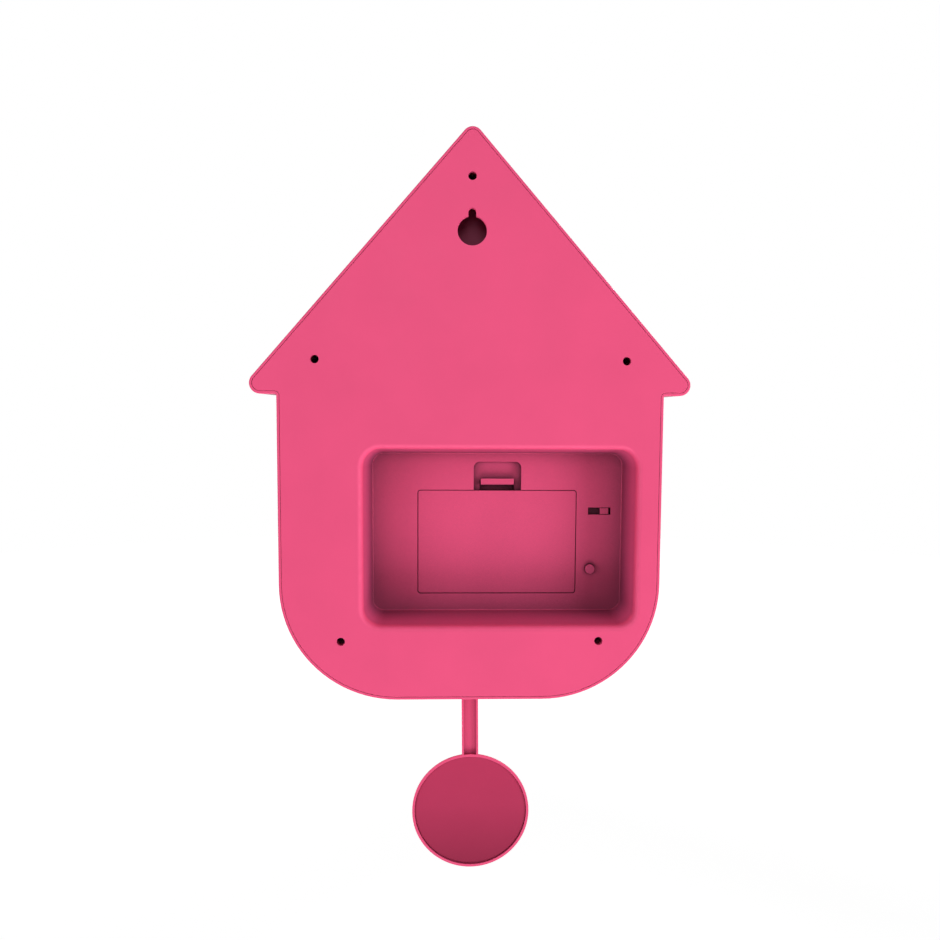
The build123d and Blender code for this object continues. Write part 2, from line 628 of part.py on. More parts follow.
def battery_cells():
    cells = []
    low = BATTERY_Z - BATTERY_HEIGHT / 2
    high = BATTERY_Z + BATTERY_HEIGHT / 2
    for x, nub_up in cell_places():
        can_length = CELL_LENGTH - CELL_NUB_HEIGHT
        can = Pos(0, 0, can_length / 2) * Cylinder(CELL_RADIUS, can_length)
        can = fillet(can.edges(), 0.8)
        cell = can + Pos(0, 0, CELL_LENGTH / 2) * Cylinder(CELL_NUB_RADIUS, CELL_LENGTH)
        turn = Rot(0, 0, 0) if nub_up else Rot(180, 0, 0)
        end = high - CONTACT_SHEET - CELL_LENGTH if nub_up else low + CONTACT_SHEET + CELL_LENGTH
        cells.append(Pos(x, -CELL_DEPTH, end) * turn * cell)
    return Compound(children=cells)


def plain_contacts():
    """Flat plates that meet the nubs."""
    plates = []
    for x, nub_up in cell_places():
        wall = BATTERY_Z + (1 if nub_up else -1) * BATTERY_HEIGHT / 2
        inner = wall - CONTACT_SHEET if nub_up else wall + CONTACT_SHEET
        upright = (min(wall, inner), max(wall, inner))
        plates.append(block((x - 6, x + 6), upright, (CELL_DEPTH - 6, CELL_DEPTH + 9)))
    return Compound(children=plates)


def sprung_contacts():
    """Bowed strips that press on the flat ends of the cells."""
    strips = []
    for x, nub_up in cell_places():
        wall = BATTERY_Z - (1 if nub_up else -1) * BATTERY_HEIGHT / 2
        rise = (BATTERY_HEIGHT - CELL_LENGTH - CONTACT_SHEET) * (1 if nub_up else -1)
        skin = CONTACT_SHEET if nub_up else -CONTACT_SHEET
        top = ThreePointArc((x - 9, wall + skin), (x, wall + rise), (x + 9, wall + skin))
        under = ThreePointArc((x + 8.6, wall), (x, wall + rise - skin), (x - 8.6, wall))
        ends = [Line(top @ 1, under @ 0), Line(under @ 1, top @ 0)]
        strips.append(slab(make_face([top, under] + ends), CELL_DEPTH - 4, 8))
    return Compound(children=strips)


def cover_screws():
    shape = screw(TUBE_BORE - 0.15, HEAD_HEIGHT, COVER_SCREW_SHANK, COVER_SCREW_LENGTH)
    seat = TUBE_DEPTH - TUBE_FLOOR
    return Compound(children=[Pos(x, -seat, z) * Rot(-90, 0, 0) * shape for x, z in cover_screw_points()])


def circuit_board():
    depths = (BOARD_DEPTH, BOARD_DEPTH + BOARD_THICKNESS)
    board = block((BOARD_LEFT, BOARD_RIGHT), (BOARD_BOTTOM, BOARD_TOP), depths)
    for x, z in BOARD_POSTS:
        board -= disc(x, z, SMALL_SHANK + SCREW_ROOM, BOARD_DEPTH - 1, BOARD_THICKNESS + 2)
    return board


def board_chips():
    face = BOARD_DEPTH + BOARD_THICKNESS
    left = BOARD_LEFT
    top = BOARD_TOP
    chips = [block((left + 2, left + 12), (top - 16, top - 6), (face, face + 1.6))]
    chips.append(block((left + 10, left + 22), (top - 27, top - 22), (face, face + 1.4)))
    chips.append(disc(left + 14, top - 40, 5.0, face, 1.2))
    for across in (4, 11):
        chips.append(disc(left + across, top - 52, 3.0, face, 8.0))
    for drop in SOCKET_DROPS:
        upright = (BOARD_TOP - drop - 2.2, BOARD_TOP - drop + 2.2)
        chips.append(block((BOARD_RIGHT - 10, BOARD_RIGHT - 2), upright, (face, face + 5.0)))
    return Compound(children=chips)


def board_screws():
    shape = screw(SMALL_HEAD_RADIUS - 0.4, SMALL_HEAD_HEIGHT, SMALL_SHANK, BOARD_SCREW_LENGTH)
    seat = BOARD_DEPTH + BOARD_THICKNESS
    return Compound(children=[Pos(x, -seat, z) * Rot(90, 0, 0) * shape for x, z in BOARD_POSTS])


def switch_knob():
    half = KNOB_WIDTH / 2
    across = (SWITCH_X - half, SWITCH_X + half)
    upright = (SWITCH_Z - KNOB_HEIGHT / 2, SWITCH_Z + KNOB_HEIGHT / 2)
    knob = block(across, upright, (WELL_DEPTH + KNOB_SINK, FLOOR_INSIDE + SLIDE_GAP))
    knob = fillet(knob.faces().sort_by(Axis.Y)[-1].edges(), KNOB_EDGE_RADIUS)
    reach = KNOB_WIDTH / 2 + SWITCH_TRAVEL + SWITCH_END_GAP + 0.5
    plate_z = (SWITCH_Z - KNOB_HEIGHT / 2 - 1.2, SWITCH_Z + KNOB_HEIGHT / 2 + 1.2)
    plate_depths = (FLOOR_INSIDE + SLIDE_GAP, FLOOR_INSIDE + SLIDE_GAP + SWITCH_PLATE)
    return knob + block((SWITCH_X - reach, SWITCH_X + reach), plate_z, plate_depths)


def switch_lever():
    rear = FLOOR_INSIDE + SLIDE_GAP + SWITCH_PLATE
    across = (SWITCH_X - LEVER_HALF, SWITCH_X + LEVER_HALF)
    upright = (SWITCH_Z - LEVER_HALF, SWITCH_Z + LEVER_HALF)
    return block(across, upright, (rear, BOARD_DEPTH - 2.4))


def slide_switch():
    middle = SWITCH_X + SWITCH_TRAVEL / 2
    can = block((middle - 8, middle + 8), (SWITCH_Z - 3.2, SWITCH_Z + 3.2), (BOARD_DEPTH - 4.2, BOARD_DEPTH))
    reach = SWITCH_TRAVEL / 2 + LEVER_HALF + SLIDE_GAP
    upright = (SWITCH_Z - LEVER_HALF - SLIDE_GAP, SWITCH_Z + LEVER_HALF + SLIDE_GAP)
    return can - block((middle - reach, middle + reach), upright, (BOARD_DEPTH - 5, BOARD_DEPTH - 2.0))


def push_button():
    flange = FLOOR_INSIDE + SLIDE_GAP
    top = WELL_DEPTH - BUTTON_PROUD
    button = disc(BUTTON_X, BUTTON_Z, BUTTON_RADIUS, top, flange - top)
    button = fillet(button.faces().sort_by(Axis.Y)[-1].edges(), BUTTON_EDGE_RADIUS)
    button += disc(BUTTON_X, BUTTON_Z, BUTTON_RADIUS + BUTTON_FLANGE, flange, 1.0)
    stem_length = BOARD_DEPTH - KEY_HEIGHT - BUTTON_TRAVEL - flange
    return button + disc(BUTTON_X, BUTTON_Z, BUTTON_STEM, flange, stem_length)


def key_switch():
    across = (BUTTON_X - KEY_HALF, BUTTON_X + KEY_HALF)
    upright = (BUTTON_Z - KEY_HALF, BUTTON_Z + KEY_HALF)
    body = block(across, upright, (BOARD_DEPTH - KEY_BODY, BOARD_DEPTH))
    return body + disc(BUTTON_X, BUTTON_Z, KEY_TOP_RADIUS, BOARD_DEPTH - KEY_HEIGHT, 1.0)


def speaker_basket():
    rim = FRONT_INNER
    throat = rim - SPEAKER_RIM - SPEAKER_FUNNEL
    inner = SPEAKER_RADIUS - SPEAKER_WALL
    profile = [(SPEAKER_RADIUS, rim), (SPEAKER_RADIUS, rim - SPEAKER_RIM)]
    profile += [(SPEAKER_BACK_RADIUS, throat), (SPEAKER_BACK_RADIUS, throat - SPEAKER_PLATE)]
    profile += [(0, throat - SPEAKER_PLATE), (0, throat), (SPEAKER_BACK_RADIUS - 1.5, throat)]
    profile += [(inner, rim - SPEAKER_RIM), (inner, rim)]
    return turned(profile, SPEAKER_X, SPEAKER_Z)


def speaker_cone():
    rim = FRONT_INNER - 0.6
    edge = SPEAKER_RADIUS - SPEAKER_WALL - 0.1
    cap_radius = 5.0
    drop = SPEAKER_FUNNEL - 2.1
    profile = [(edge, rim), (edge - 1.2, rim), (cap_radius, rim - drop), (0, rim - drop + 1.4)]
    profile += [(0, rim - drop + 1.4 - CONE_SHEET), (cap_radius, rim - drop - CONE_SHEET)]
    profile += [(edge - 1.4, rim - 1.0), (edge, rim - 1.0)]
    return turned(profile, SPEAKER_X, SPEAKER_Z)


def speaker_magnet():
    rear = FRONT_INNER - SPEAKER_RIM - SPEAKER_FUNNEL - SPEAKER_PLATE - SPEAKER_MAGNET
    return disc(SPEAKER_X, SPEAKER_Z, SPEAKER_BACK_RADIUS - 1, rear, SPEAKER_MAGNET)


def movement_front():
    """Depth of the movement's front face."""
    return FRONT_INNER - GASKET


def movement_outline(inset):
    """Square case of the movement, drawn in by an inset."""
    side = MOVEMENT_SIZE - 2 * inset
    return Pos(0, DIAL_Z) * RectangleRounded(side, side, MOVEMENT_CORNER - inset)


def movement_base():
    front = movement_front()
    outline = movement_outline(0)
    inside = movement_outline(MOVEMENT_WALL)
    base = slab(outline, front - 8, 8) - slab(inside, front - 9, 7)
    base += disc(0, DIAL_Z, BUSH_RADIUS, front - 2, bush_end() - front + 2)
    base -= disc(0, DIAL_Z, BUSH_BORE, front - 3, bush_end() - front + 4)
    return base + disc(-MOTION_DISTANCE, DIAL_Z, REVERSE_POST, front - 7, 6)


def bush_end():
    """Depth where the threaded bush ends, just past its nut."""
    return dial_front() + NUT_THICKNESS + 0.2


def dial_front():
    """Depth of the dial's front face."""
    return DEPTH + DIAL_STANDOFF + DIAL_THICKNESS


def movement_cover():
    rear = movement_front() - MOVEMENT_DEPTH
    outline = movement_outline(0)
    inside = movement_outline(MOVEMENT_WALL)
    cover = slab(outline, rear, MOVEMENT_DEPTH - 8) - slab(inside, rear + 1.5, MOVEMENT_DEPTH)
    cover += disc(0, DIAL_Z, 3.0, rear + 1, 4.5)
    return cover - disc(0, DIAL_Z, ARBOR_PIVOT + RUNNING_FIT, rear + 1, 5)


def movement_gasket():
    ring = Circle(GASKET_RADIUS) - Circle(BUSH_RADIUS + PART_FIT)
    return slab(Pos(0, DIAL_Z) * ring, movement_front(), GASKET)


def movement_nut():
    ring = RegularPolygon(NUT_RADIUS, 6) - Circle(BUSH_RADIUS + SEAT_FIT)
    return slab(Pos(0, DIAL_Z) * ring, dial_front(), NUT_THICKNESS)


def hour_hand_depth():
    """Depth of the hour hand's rear face."""
    return bush_end() + HAND_GAP


def minute_hand_depth():
    """Depth of the minute hand's rear face."""
    return hour_hand_depth() + HAND_THICKNESS + HAND_GAP


def minute_arbor():
    front = movement_front()
    rear = front - MOVEMENT_DEPTH
    arbor = disc(0, DIAL_Z, ARBOR_PIVOT, rear + 2, 4)
    arbor += disc(0, DIAL_Z, ARBOR_RADIUS, rear + 5.8, minute_hand_depth() + HAND_THICKNESS - rear - 5.8)
    module = 2 * MOTION_DISTANCE / (CANNON_TEETH + REVERSE_TEETH)
    return arbor + slab(Pos(0, DIAL_Z) * gear_face(CANNON_TEETH, module), front - 6.4, 1.8)


def reverse_wheel():
    front = movement_front()
    module = 2 * MOTION_DISTANCE / (CANNON_TEETH + REVERSE_TEETH)
    pinion_module = 2 * MOTION_DISTANCE / (REVERSE_PINION_TEETH + HOUR_TEETH)
    place = Pos(-MOTION_DISTANCE, DIAL_Z)
    wheel = slab(place * gear_face(REVERSE_TEETH, module, 180.0 / REVERSE_TEETH), front - 6.2, 1.4)
    phase = 180.0 / REVERSE_PINION_TEETH
    wheel += slab(place * gear_face(REVERSE_PINION_TEETH, pinion_module, phase), front - 4.8, 2.2)
    return wheel - disc(-MOTION_DISTANCE, DIAL_Z, REVERSE_POST + RUNNING_FIT, front - 8, 8)


def hour_wheel():
    front = movement_front()
    module = 2 * MOTION_DISTANCE / (REVERSE_PINION_TEETH + HOUR_TEETH)
    wheel = slab(Pos(0, DIAL_Z) * gear_face(HOUR_TEETH, module), front - 4.0, 1.4)
    pipe_length = hour_hand_depth() + HAND_THICKNESS - front + 4.0
    wheel += disc(0, DIAL_Z, HOUR_PIPE_RADIUS, front - 4.0, pipe_length)
    return wheel - disc(0, DIAL_Z, ARBOR_RADIUS + RUNNING_FIT, front - 5, pipe_length + 2)


def pendulum_coil():
    rear = movement_front() - MOVEMENT_DEPTH
    start = ROD_FRONT + MAGNET_THICKNESS + COIL_GAP
    ring = Circle(COIL_RADIUS) - Circle(COIL_BORE)
    return slab(Pos(0, MAGNET_Z) * ring, start, rear - start)


def dial():
    plate = disc(0, DIAL_Z, DIAL_RADIUS, DEPTH + DIAL_STANDOFF, DIAL_THICKNESS)
    plate = fillet(plate.faces().sort_by(Axis.Y)[0].edges(), DIAL_EDGE_RADIUS)
    plate += disc(0, DIAL_Z, DIAL_HUB_RADIUS, DEPTH, DIAL_STANDOFF)
    return plate - disc(0, DIAL_Z, BUSH_RADIUS + PART_FIT, DEPTH - 1, 6)


def hour_marks():
    marks = []
    for hour in range(12):
        long_mark = hour % 3 == 0
        width, length = QUARTER_MARK if long_mark else HOUR_MARK
        bar = Pos(0, DIAL_RADIUS - MARK_INSET - length / 2) * RectangleRounded(width, length, width / 2 - 0.1)
        marks.append(slab(Pos(0, DIAL_Z) * Rot(0, 0, -30 * hour) * bar, dial_front(), MARK_THICKNESS))
    return Compound(children=marks)


def hand(blade, shaft, turn, depth):
    """Clock hand of a length, width and tail, with a round hub, turned clockwise from twelve."""
    length, width, tail = blade
    bar = Pos(0, (length - tail) / 2) * SlotOverall(length + tail, width, 90)
    face = bar + Circle(HAND_HUB_RADIUS) - Circle(shaft + SEAT_FIT)
    return slab(Pos(0, DIAL_Z) * Rot(0, 0, -turn) * face, depth, HAND_THICKNESS)


def hour_hand():
    turn = 30.0 * SHOWN_HOUR + 0.5 * SHOWN_MINUTE
    blade = (HOUR_HAND_LENGTH, HOUR_HAND_WIDTH, HOUR_HAND_TAIL)
    return hand(blade, HOUR_PIPE_RADIUS, turn, hour_hand_depth())


def minute_hand():
    turn = 6.0 * SHOWN_MINUTE
    blade = (MINUTE_HAND_LENGTH, MINUTE_HAND_WIDTH, MINUTE_HAND_TAIL)
    return hand(blade, ARBOR_RADIUS, turn, minute_hand_depth())


def hand_cap():
    depth = minute_hand_depth() + HAND_THICKNESS
    cap = disc(0, DIAL_Z, HAND_HUB_RADIUS, depth, CAP_HEIGHT)
    return fillet(cap.faces().sort_by(Axis.Y)[0].edges(), CAP_EDGE_RADIUS)


def door_frame():
    front = slab(doorway_face(FRAME_BEZEL), DEPTH, FRAME_PROUD)
    front = fillet(front.edges().filter_by(Axis.Y), FRAME_CORNER)
    front = fillet(front.faces().sort_by(Axis.Y)[0].edges(), FRAME_EDGE_RADIUS)
    frame = front + slab(doorway_face(FRAME_SLEEVE), FRONT_INNER - 1, WALL + 1)
    frame -= slab(doorway_face(0), FRONT_INNER - 2, WALL + FRAME_PROUD + 4)
    for side in (-1, 1):
        frame -= hinge_column(side, HINGE_PIN_RADIUS + SEAT_FIT, HINGE_PIN_BITE + 0.1)
    return frame


def hinge_column(side, radius, bite):
    """Upright bar on a door's hinge axis, reaching past the doorway at both ends."""
    half = DOORWAY_HEIGHT / 2 + bite
    return column(side * HINGE_X, HINGE_DEPTH, radius, DOORWAY_Z - half, DOORWAY_Z + half)


def door_pins():
    return Compound(children=[hinge_column(side, HINGE_PIN_RADIUS, HINGE_PIN_BITE) for side in (-1, 1)])


def door_leaf(side):
    """One door, hinged at its outer edge, with a gap in the knuckle for its closing spring."""
    low = DOORWAY_Z - DOORWAY_HEIGHT / 2 + SLIDE_GAP
    high = DOORWAY_Z + DOORWAY_HEIGHT / 2 - SLIDE_GAP
    across = sorted((side * HINGE_X, side * 0.2))
    depths = (HINGE_DEPTH - LEAF_THICKNESS / 2, HINGE_DEPTH + LEAF_THICKNESS / 2)
    leaf = block(across, (low, high), depths)
    leaf += column(side * HINGE_X, HINGE_DEPTH, KNUCKLE_RADIUS, low, high)
    leaf -= column(side * HINGE_X, HINGE_DEPTH, HINGE_PIN_RADIUS + RUNNING_FIT, low - 1, high + 1)
    notch = sorted((side * (HINGE_X + 3), side * (HINGE_X - 2.2)))
    return leaf - block(notch, (low + 4, low + 4 + SPRING_LENGTH + 0.6), (depths[0] - 2, depths[1] + 2))


def door_springs():
    """Closing spring round each hinge pin."""
    low = DOORWAY_Z - DOORWAY_HEIGHT / 2 + SLIDE_GAP + 4.3
    springs = []
    for side in (-1, 1):
        coil = column(side * HINGE_X, HINGE_DEPTH, SPRING_RADIUS, low, low + SPRING_LENGTH)
        springs.append(coil - hinge_column(side, HINGE_PIN_RADIUS + RUNNING_FIT, 0))
    return Compound(children=springs)


def chassis():
    floor = (CHASSIS_TOP - CHASSIS_THICKNESS, CHASSIS_TOP)
    rear_flange = FLANGE_FRONT - FLANGE_THICKNESS
    base = block((MOTOR_X - MOTOR_RADIUS - 2, SLED_RIGHT + 5), floor, (CHASSIS_REAR, FLANGE_FRONT))
    half = FLANGE_SCREW_X + 4
    flange_z = (floor[0] - 2, DOORWAY_Z + DOORWAY_HEIGHT / 2 + 2)
    flange = block((-half, half), flange_z, (rear_flange, FLANGE_FRONT))
    window = DOORWAY_WIDTH / 2 - 0.5
    flange -= block((-window, window), (CHASSIS_TOP, flange_z[1] - 4), (rear_flange - 1, FLANGE_FRONT + 1))
    frame = base + flange
    for across, length in (((SLED_RIGHT + 3, SLED_RIGHT + 5), 45.0), ((RACK_X - 5, RACK_X - 3), 20.0)):
        frame += block(across, (CHASSIS_TOP, CHASSIS_TOP + 12), (rear_flange - length, rear_flange))
    slot_end = FOOT_DEPTHS[1] + FOOT_LENGTH + BIRD_TRAVEL + 1
    frame -= block((-3, 3), (floor[0] - 1, floor[1] + 1), (FOOT_DEPTHS[0] - 1, slot_end))
    for x in (RACK_GEAR_X, IDLER_X):
        frame -= column(x, GEAR_DEPTH, AXLE_RADIUS + SEAT_FIT, floor[0] - 1, floor[1] + 1)
    frame -= column(MOTOR_X, GEAR_DEPTH, MOTOR_BOSS + 0.1, floor[0] - 1, floor[1] + 1)
    for depth in motor_screw_depths():
        frame -= column(MOTOR_X, depth, SMALL_SHANK + SCREW_ROOM, floor[0] - 1, floor[1] + 1)
    for x, z in flange_screw_points():
        frame -= disc(x, z, SMALL_SHANK + SCREW_ROOM, rear_flange - 1, FLANGE_THICKNESS + 2)
    return frame


def chassis_screws():
    shape = screw(SMALL_HEAD_RADIUS, SMALL_HEAD_HEIGHT, SMALL_SHANK, FLANGE_THICKNESS + 3.0)
    seat = FLANGE_FRONT - FLANGE_THICKNESS
    return Compound(children=[Pos(x, -seat, z) * Rot(-90, 0, 0) * shape for x, z in flange_screw_points()])


def sled():
    upright = (SLED_BOTTOM, SLED_TOP)
    rack_root = RACK_X + DEDENDUM * RACK_MODULE
    wide_front = GEAR_DEPTH + 5.0
    plate = block((rack_root, SLED_RIGHT), upright, (SLED_REAR, wide_front))
    plate += block((-SLED_TONGUE, SLED_TONGUE), upright, (wide_front, SLED_FRONT))
    plate += rack_teeth()
    for depth in FOOT_DEPTHS:
        depths = (depth, depth + FOOT_LENGTH)
        underside = CHASSIS_TOP - CHASSIS_THICKNESS - 0.2
        plate += block((-2.6, 2.6), (underside, SLED_BOTTOM), depths)
        plate += block((-5, 5), (underside - 1.6, underside), depths)
    return plate


def rack_teeth():
    """Teeth along the sled's edge, a gap facing the rack gear's tooth at rest."""
    pitch = pi * RACK_MODULE
    root = RACK_X + DEDENDUM * RACK_MODULE
    tip = RACK_X - ADDENDUM * RACK_MODULE
    count = int((GEAR_DEPTH + 4.0 - SLED_REAR) / pitch)
    rack = None
    for n in range(-1, count - 1):
        middle = -(GEAR_DEPTH - (n + 0.5) * pitch)
        half_root = ROOT_SHARE * pitch
        half_tip = TIP_SHARE * pitch
        corners = [(root, middle - half_root), (tip, middle - half_tip)]
        corners += [(tip, middle + half_tip), (root, middle + half_root)]
        outline = make_face(Polyline(*corners, close=True))
        tooth = extrude(Pos(0, 0, SLED_BOTTOM) * outline, amount=SLED_THICKNESS)
        rack = tooth if rack is None else rack + tooth
    return rack


def rack_gear():
    gear = upright_gear(RACK_PINION_TEETH, RACK_MODULE, RACK_GEAR_X, SLED_BOTTOM, WHEEL_Z - SLED_BOTTOM)
    gear += upright_gear(RACK_WHEEL_TEETH, RACK_WHEEL_MODULE, RACK_GEAR_X, WHEEL_Z, GEAR_WIDTH)
    return gear - column(RACK_GEAR_X, GEAR_DEPTH, AXLE_RADIUS + RUNNING_FIT, SLED_BOTTOM - 1, WHEEL_Z + 9)


def idler_gear():
    phase = 180.0 / IDLER_PINION_TEETH
    pinion_height = IDLER_WHEEL_Z - WHEEL_Z
    gear = upright_gear(IDLER_PINION_TEETH, RACK_WHEEL_MODULE, IDLER_X, WHEEL_Z, pinion_height, phase)
    gear += upright_gear(IDLER_WHEEL_TEETH, IDLER_MODULE, IDLER_X, IDLER_WHEEL_Z, GEAR_WIDTH)
    gear += column(IDLER_X, GEAR_DEPTH, 2.4, SLED_BOTTOM, WHEEL_Z)
    return gear - column(IDLER_X, GEAR_DEPTH, AXLE_RADIUS + RUNNING_FIT, SLED_BOTTOM - 1, IDLER_WHEEL_Z + 9)


def gear_axles():
    axles = []
    for x, top in ((RACK_GEAR_X, WHEEL_Z + GEAR_WIDTH), (IDLER_X, IDLER_WHEEL_Z + GEAR_WIDTH)):
        pin = column(x, GEAR_DEPTH, AXLE_RADIUS, CHASSIS_TOP - CHASSIS_THICKNESS, top + 0.3)
        axles.append(pin + column(x, GEAR_DEPTH, 2.2, top + 0.3, top + 1.1))
    return Compound(children=axles)


def motor_can():
    top = CHASSIS_TOP - CHASSIS_THICKNESS
    can = column(MOTOR_X, GEAR_DEPTH, MOTOR_RADIUS, top - MOTOR_LENGTH, top)
    can = fillet(can.edges(), 1.0)
    can += column(MOTOR_X, GEAR_DEPTH, MOTOR_BOSS, top - 1, top + 1.6)
    can -= column(MOTOR_X, GEAR_DEPTH, MOTOR_SHAFT_RADIUS + RUNNING_FIT, top - 12, top + 3)
    for depth in motor_screw_depths():
        can -= column(MOTOR_X, depth, SMALL_SHANK + SEAT_FIT, top - 5, top + 1)
    return can


def motor_screw_depths():
    """Depths of the two screws in the motor's face."""
    return (GEAR_DEPTH - MOTOR_SCREW_SPREAD, GEAR_DEPTH + MOTOR_SCREW_SPREAD)


def motor_end_cap():
    top = CHASSIS_TOP - CHASSIS_THICKNESS - MOTOR_LENGTH
    cap = column(MOTOR_X, GEAR_DEPTH, MOTOR_RADIUS - 1.2, top - 2.5, top)
    for side in (-1, 1):
        x = MOTOR_X + side * 6
        cap += block((x - 1.2, x + 1.2), (top - 5, top - 2.5), (GEAR_DEPTH - 0.3, GEAR_DEPTH + 0.3))
    return cap


def motor_pinion():
    top = CHASSIS_TOP - CHASSIS_THICKNESS
    phase = 180.0 / MOTOR_PINION_TEETH
    pinion = upright_gear(MOTOR_PINION_TEETH, IDLER_MODULE, MOTOR_X, IDLER_WHEEL_Z, GEAR_WIDTH, phase)
    return pinion + column(MOTOR_X, GEAR_DEPTH, MOTOR_SHAFT_RADIUS, top - 11, IDLER_WHEEL_Z + GEAR_WIDTH)


def motor_screws():
    shape = screw(SMALL_HEAD_RADIUS - 0.5, SMALL_HEAD_HEIGHT - 0.4, SMALL_SHANK, CHASSIS_THICKNESS + 3.5)
    return Compound(children=[Pos(MOTOR_X, -depth, CHASSIS_TOP) * shape for depth in motor_screw_depths()])


def egg(radius, half_length):
    """Ellipsoid with its long axis along the depth."""
    half = Ellipse(radius, half_length) & Pos(radius, 0) * Rectangle(2 * radius, 2 * half_length)
    return revolve(half, Axis.Y)


def bird_body():
    body = Pos(0, -BIRD_DEPTH, BIRD_Z) * Rot(-14, 0, 0) * egg(12.5, 19.0)
    body += Pos(0, -BIRD_DEPTH - 12, BIRD_Z + 11) * Sphere(HEAD_RADIUS)
    tail = loft([Plane.XZ.offset(BIRD_DEPTH - 12) * Pos(0, BIRD_Z - 3) * Rectangle(12, 7),
                 Plane.XZ.offset(BIRD_DEPTH - 33) * Pos(0, BIRD_Z - 9) * Rectangle(17, 2.4)])
    return body + tail


def bird_beak():
    start = BIRD_DEPTH + 12 + HEAD_RADIUS - 1.2
    cone = turned([(0.01, start), (3.0, start), (0.3, start + 8.0), (0.01, start + 8.0)], 0, BIRD_Z + 10.5)
    return cone - Pos(0, -BIRD_DEPTH - 12, BIRD_Z + 11) * Sphere(HEAD_RADIUS)


def bird_wings():
    body = bird_body()
    wings = []
    for side in (-1, 1):
        wing = Pos(side * 8.6, -BIRD_DEPTH + 4, BIRD_Z + 0.5) * Rot(-18, 0, side * 6) * egg(5.4, 14.0)
        wings.append((wing - body).solids().sort_by(SortBy.VOLUME)[-1])
    return Compound(children=wings)


def bird_eyes():
    head = Pos(0, -BIRD_DEPTH - 12, BIRD_Z + 11) * Sphere(HEAD_RADIUS)
    eyes = []
    for side in (-1, 1):
        eye = Pos(side * 7.2, -BIRD_DEPTH - 16.6, BIRD_Z + 14.6) * Sphere(1.7)
        eyes.append(eye - head)
    return Compound(children=eyes)


def bird_perch():
    post = block((-3, 3), (SLED_TOP, BIRD_Z - 5), (BIRD_DEPTH - 4, BIRD_DEPTH + 4))
    return post - bird_body()


def pendulum():
    depths = (PENDULUM_DEPTH, ROD_FRONT)
    half = ROD_WIDTH / 2
    rod = block((-half, half), (BOB_Z + BOB_RADIUS - ROD_LAP, PIVOT_Z), depths)
    rod += disc(0, PIVOT_Z, EYE_RADIUS, PENDULUM_DEPTH, ROD_THICKNESS)
    channel = half - ROD_RIM
    channel_z = (BOB_Z + BOB_RADIUS - BOB_RIM, PIVOT_Z - EYE_RADIUS - 2)
    rod -= block((-channel, channel), channel_z, (PENDULUM_DEPTH - 1, PENDULUM_DEPTH + ROD_CHANNEL))
    crown = BOB_EDGE + BOB_DOME
    seat = PLATE_SINK + PLATE_THICKNESS
    mouth = BOB_RADIUS - BOB_RIM
    ledge = PLATE_RADIUS - PLATE_LEDGE
    bob = domed([(BOB_RADIUS, 0), (BOB_RADIUS, BOB_EDGE)], crown)
    hollow = domed([(mouth, -1), (mouth, seat), (ledge, seat)], crown - BOB_FLOOR)
    eye_bore = disc(0, PIVOT_Z, PIVOT_RADIUS + RUNNING_FIT, PENDULUM_DEPTH - 1, ROD_THICKNESS + 2)
    return swung(rod + bob - hollow - eye_bore)


def domed(points, crown):
    """Solid turned about the bob's axis, from radius and depth pairs and a dome that ends at the crown."""
    radius, start = points[-1]
    ball = (radius ** 2 + (crown - start) ** 2) / (2 * (crown - start))
    lean = asin(radius / ball) / 2
    shoulder = (ball * sin(lean), ball * (1 - cos(lean)) - crown)
    outline = [(0, crown), (0, points[0][1])] + points
    sides = Polyline(*[(across, -depth) for across, depth in outline])
    dome = ThreePointArc((radius, -start), shoulder, (0, -crown))
    return Pos(0, -PENDULUM_DEPTH, BOB_Z) * revolve(make_face([sides, dome]), Axis.Y)


def swung(shape):
    """A piece of the pendulum, hung a little off the middle as the photograph shows it."""
    return Pos(0, 0, PIVOT_Z) * Rot(0, SHOWN_SWING, 0) * Pos(0, 0, -PIVOT_Z) * shape


def bob_plate():
    """Plate that closes the back of the bob."""
    plate = disc(0, BOB_Z, PLATE_RADIUS, PENDULUM_DEPTH + PLATE_SINK, PLATE_THICKNESS)
    return swung(fillet(plate.faces().sort_by(Axis.Y)[-1].edges(), PLATE_EDGE_RADIUS))


def pendulum_magnet():
    return swung(disc(0, MAGNET_Z, MAGNET_RADIUS, ROD_FRONT, MAGNET_THICKNESS))


def bracket_rear():
    """Depth where the bracket's block meets the pendulum's eye."""
    return ROD_FRONT + BRACKET_GAP


def pendulum_bracket():
    front = FRONT_INNER - BRACKET_BOSS
    plate = slab(Pos(0, PIVOT_Z) * RectangleRounded(*BRACKET_PLATE, 4), front - BRACKET_SHEET, BRACKET_SHEET)
    plate += disc(0, PIVOT_Z, BRACKET_HUB, bracket_rear(), front - bracket_rear())
    plate -= disc(0, PIVOT_Z, PIVOT_RADIUS + SEAT_FIT, bracket_rear() - 1, PIN_BITE + 1)
    for x in (-BRACKET_SCREW_X, BRACKET_SCREW_X):
        plate -= disc(x, PIVOT_Z, SMALL_SHANK + SCREW_ROOM, front - BRACKET_SHEET - 1, BRACKET_SHEET + 3)
    return plate


def pivot_pin():
    head = PENDULUM_DEPTH - PIN_HEAD_GAP
    pin = disc(0, PIVOT_Z, PIVOT_RADIUS, head, bracket_rear() + PIN_BITE - head)
    return pin + disc(0, PIVOT_Z, PIN_HEAD_RADIUS, head - 1, 1.2)


def bracket_screws():
    shape = screw(SMALL_HEAD_RADIUS, SMALL_HEAD_HEIGHT, SMALL_SHANK, BRACKET_SCREW_LENGTH)
    seat = FRONT_INNER - BRACKET_BOSS - BRACKET_SHEET
    places = (-BRACKET_SCREW_X, BRACKET_SCREW_X)
    return Compound(children=[Pos(x, -seat, PIVOT_Z) * Rot(-90, 0, 0) * shape for x in places])


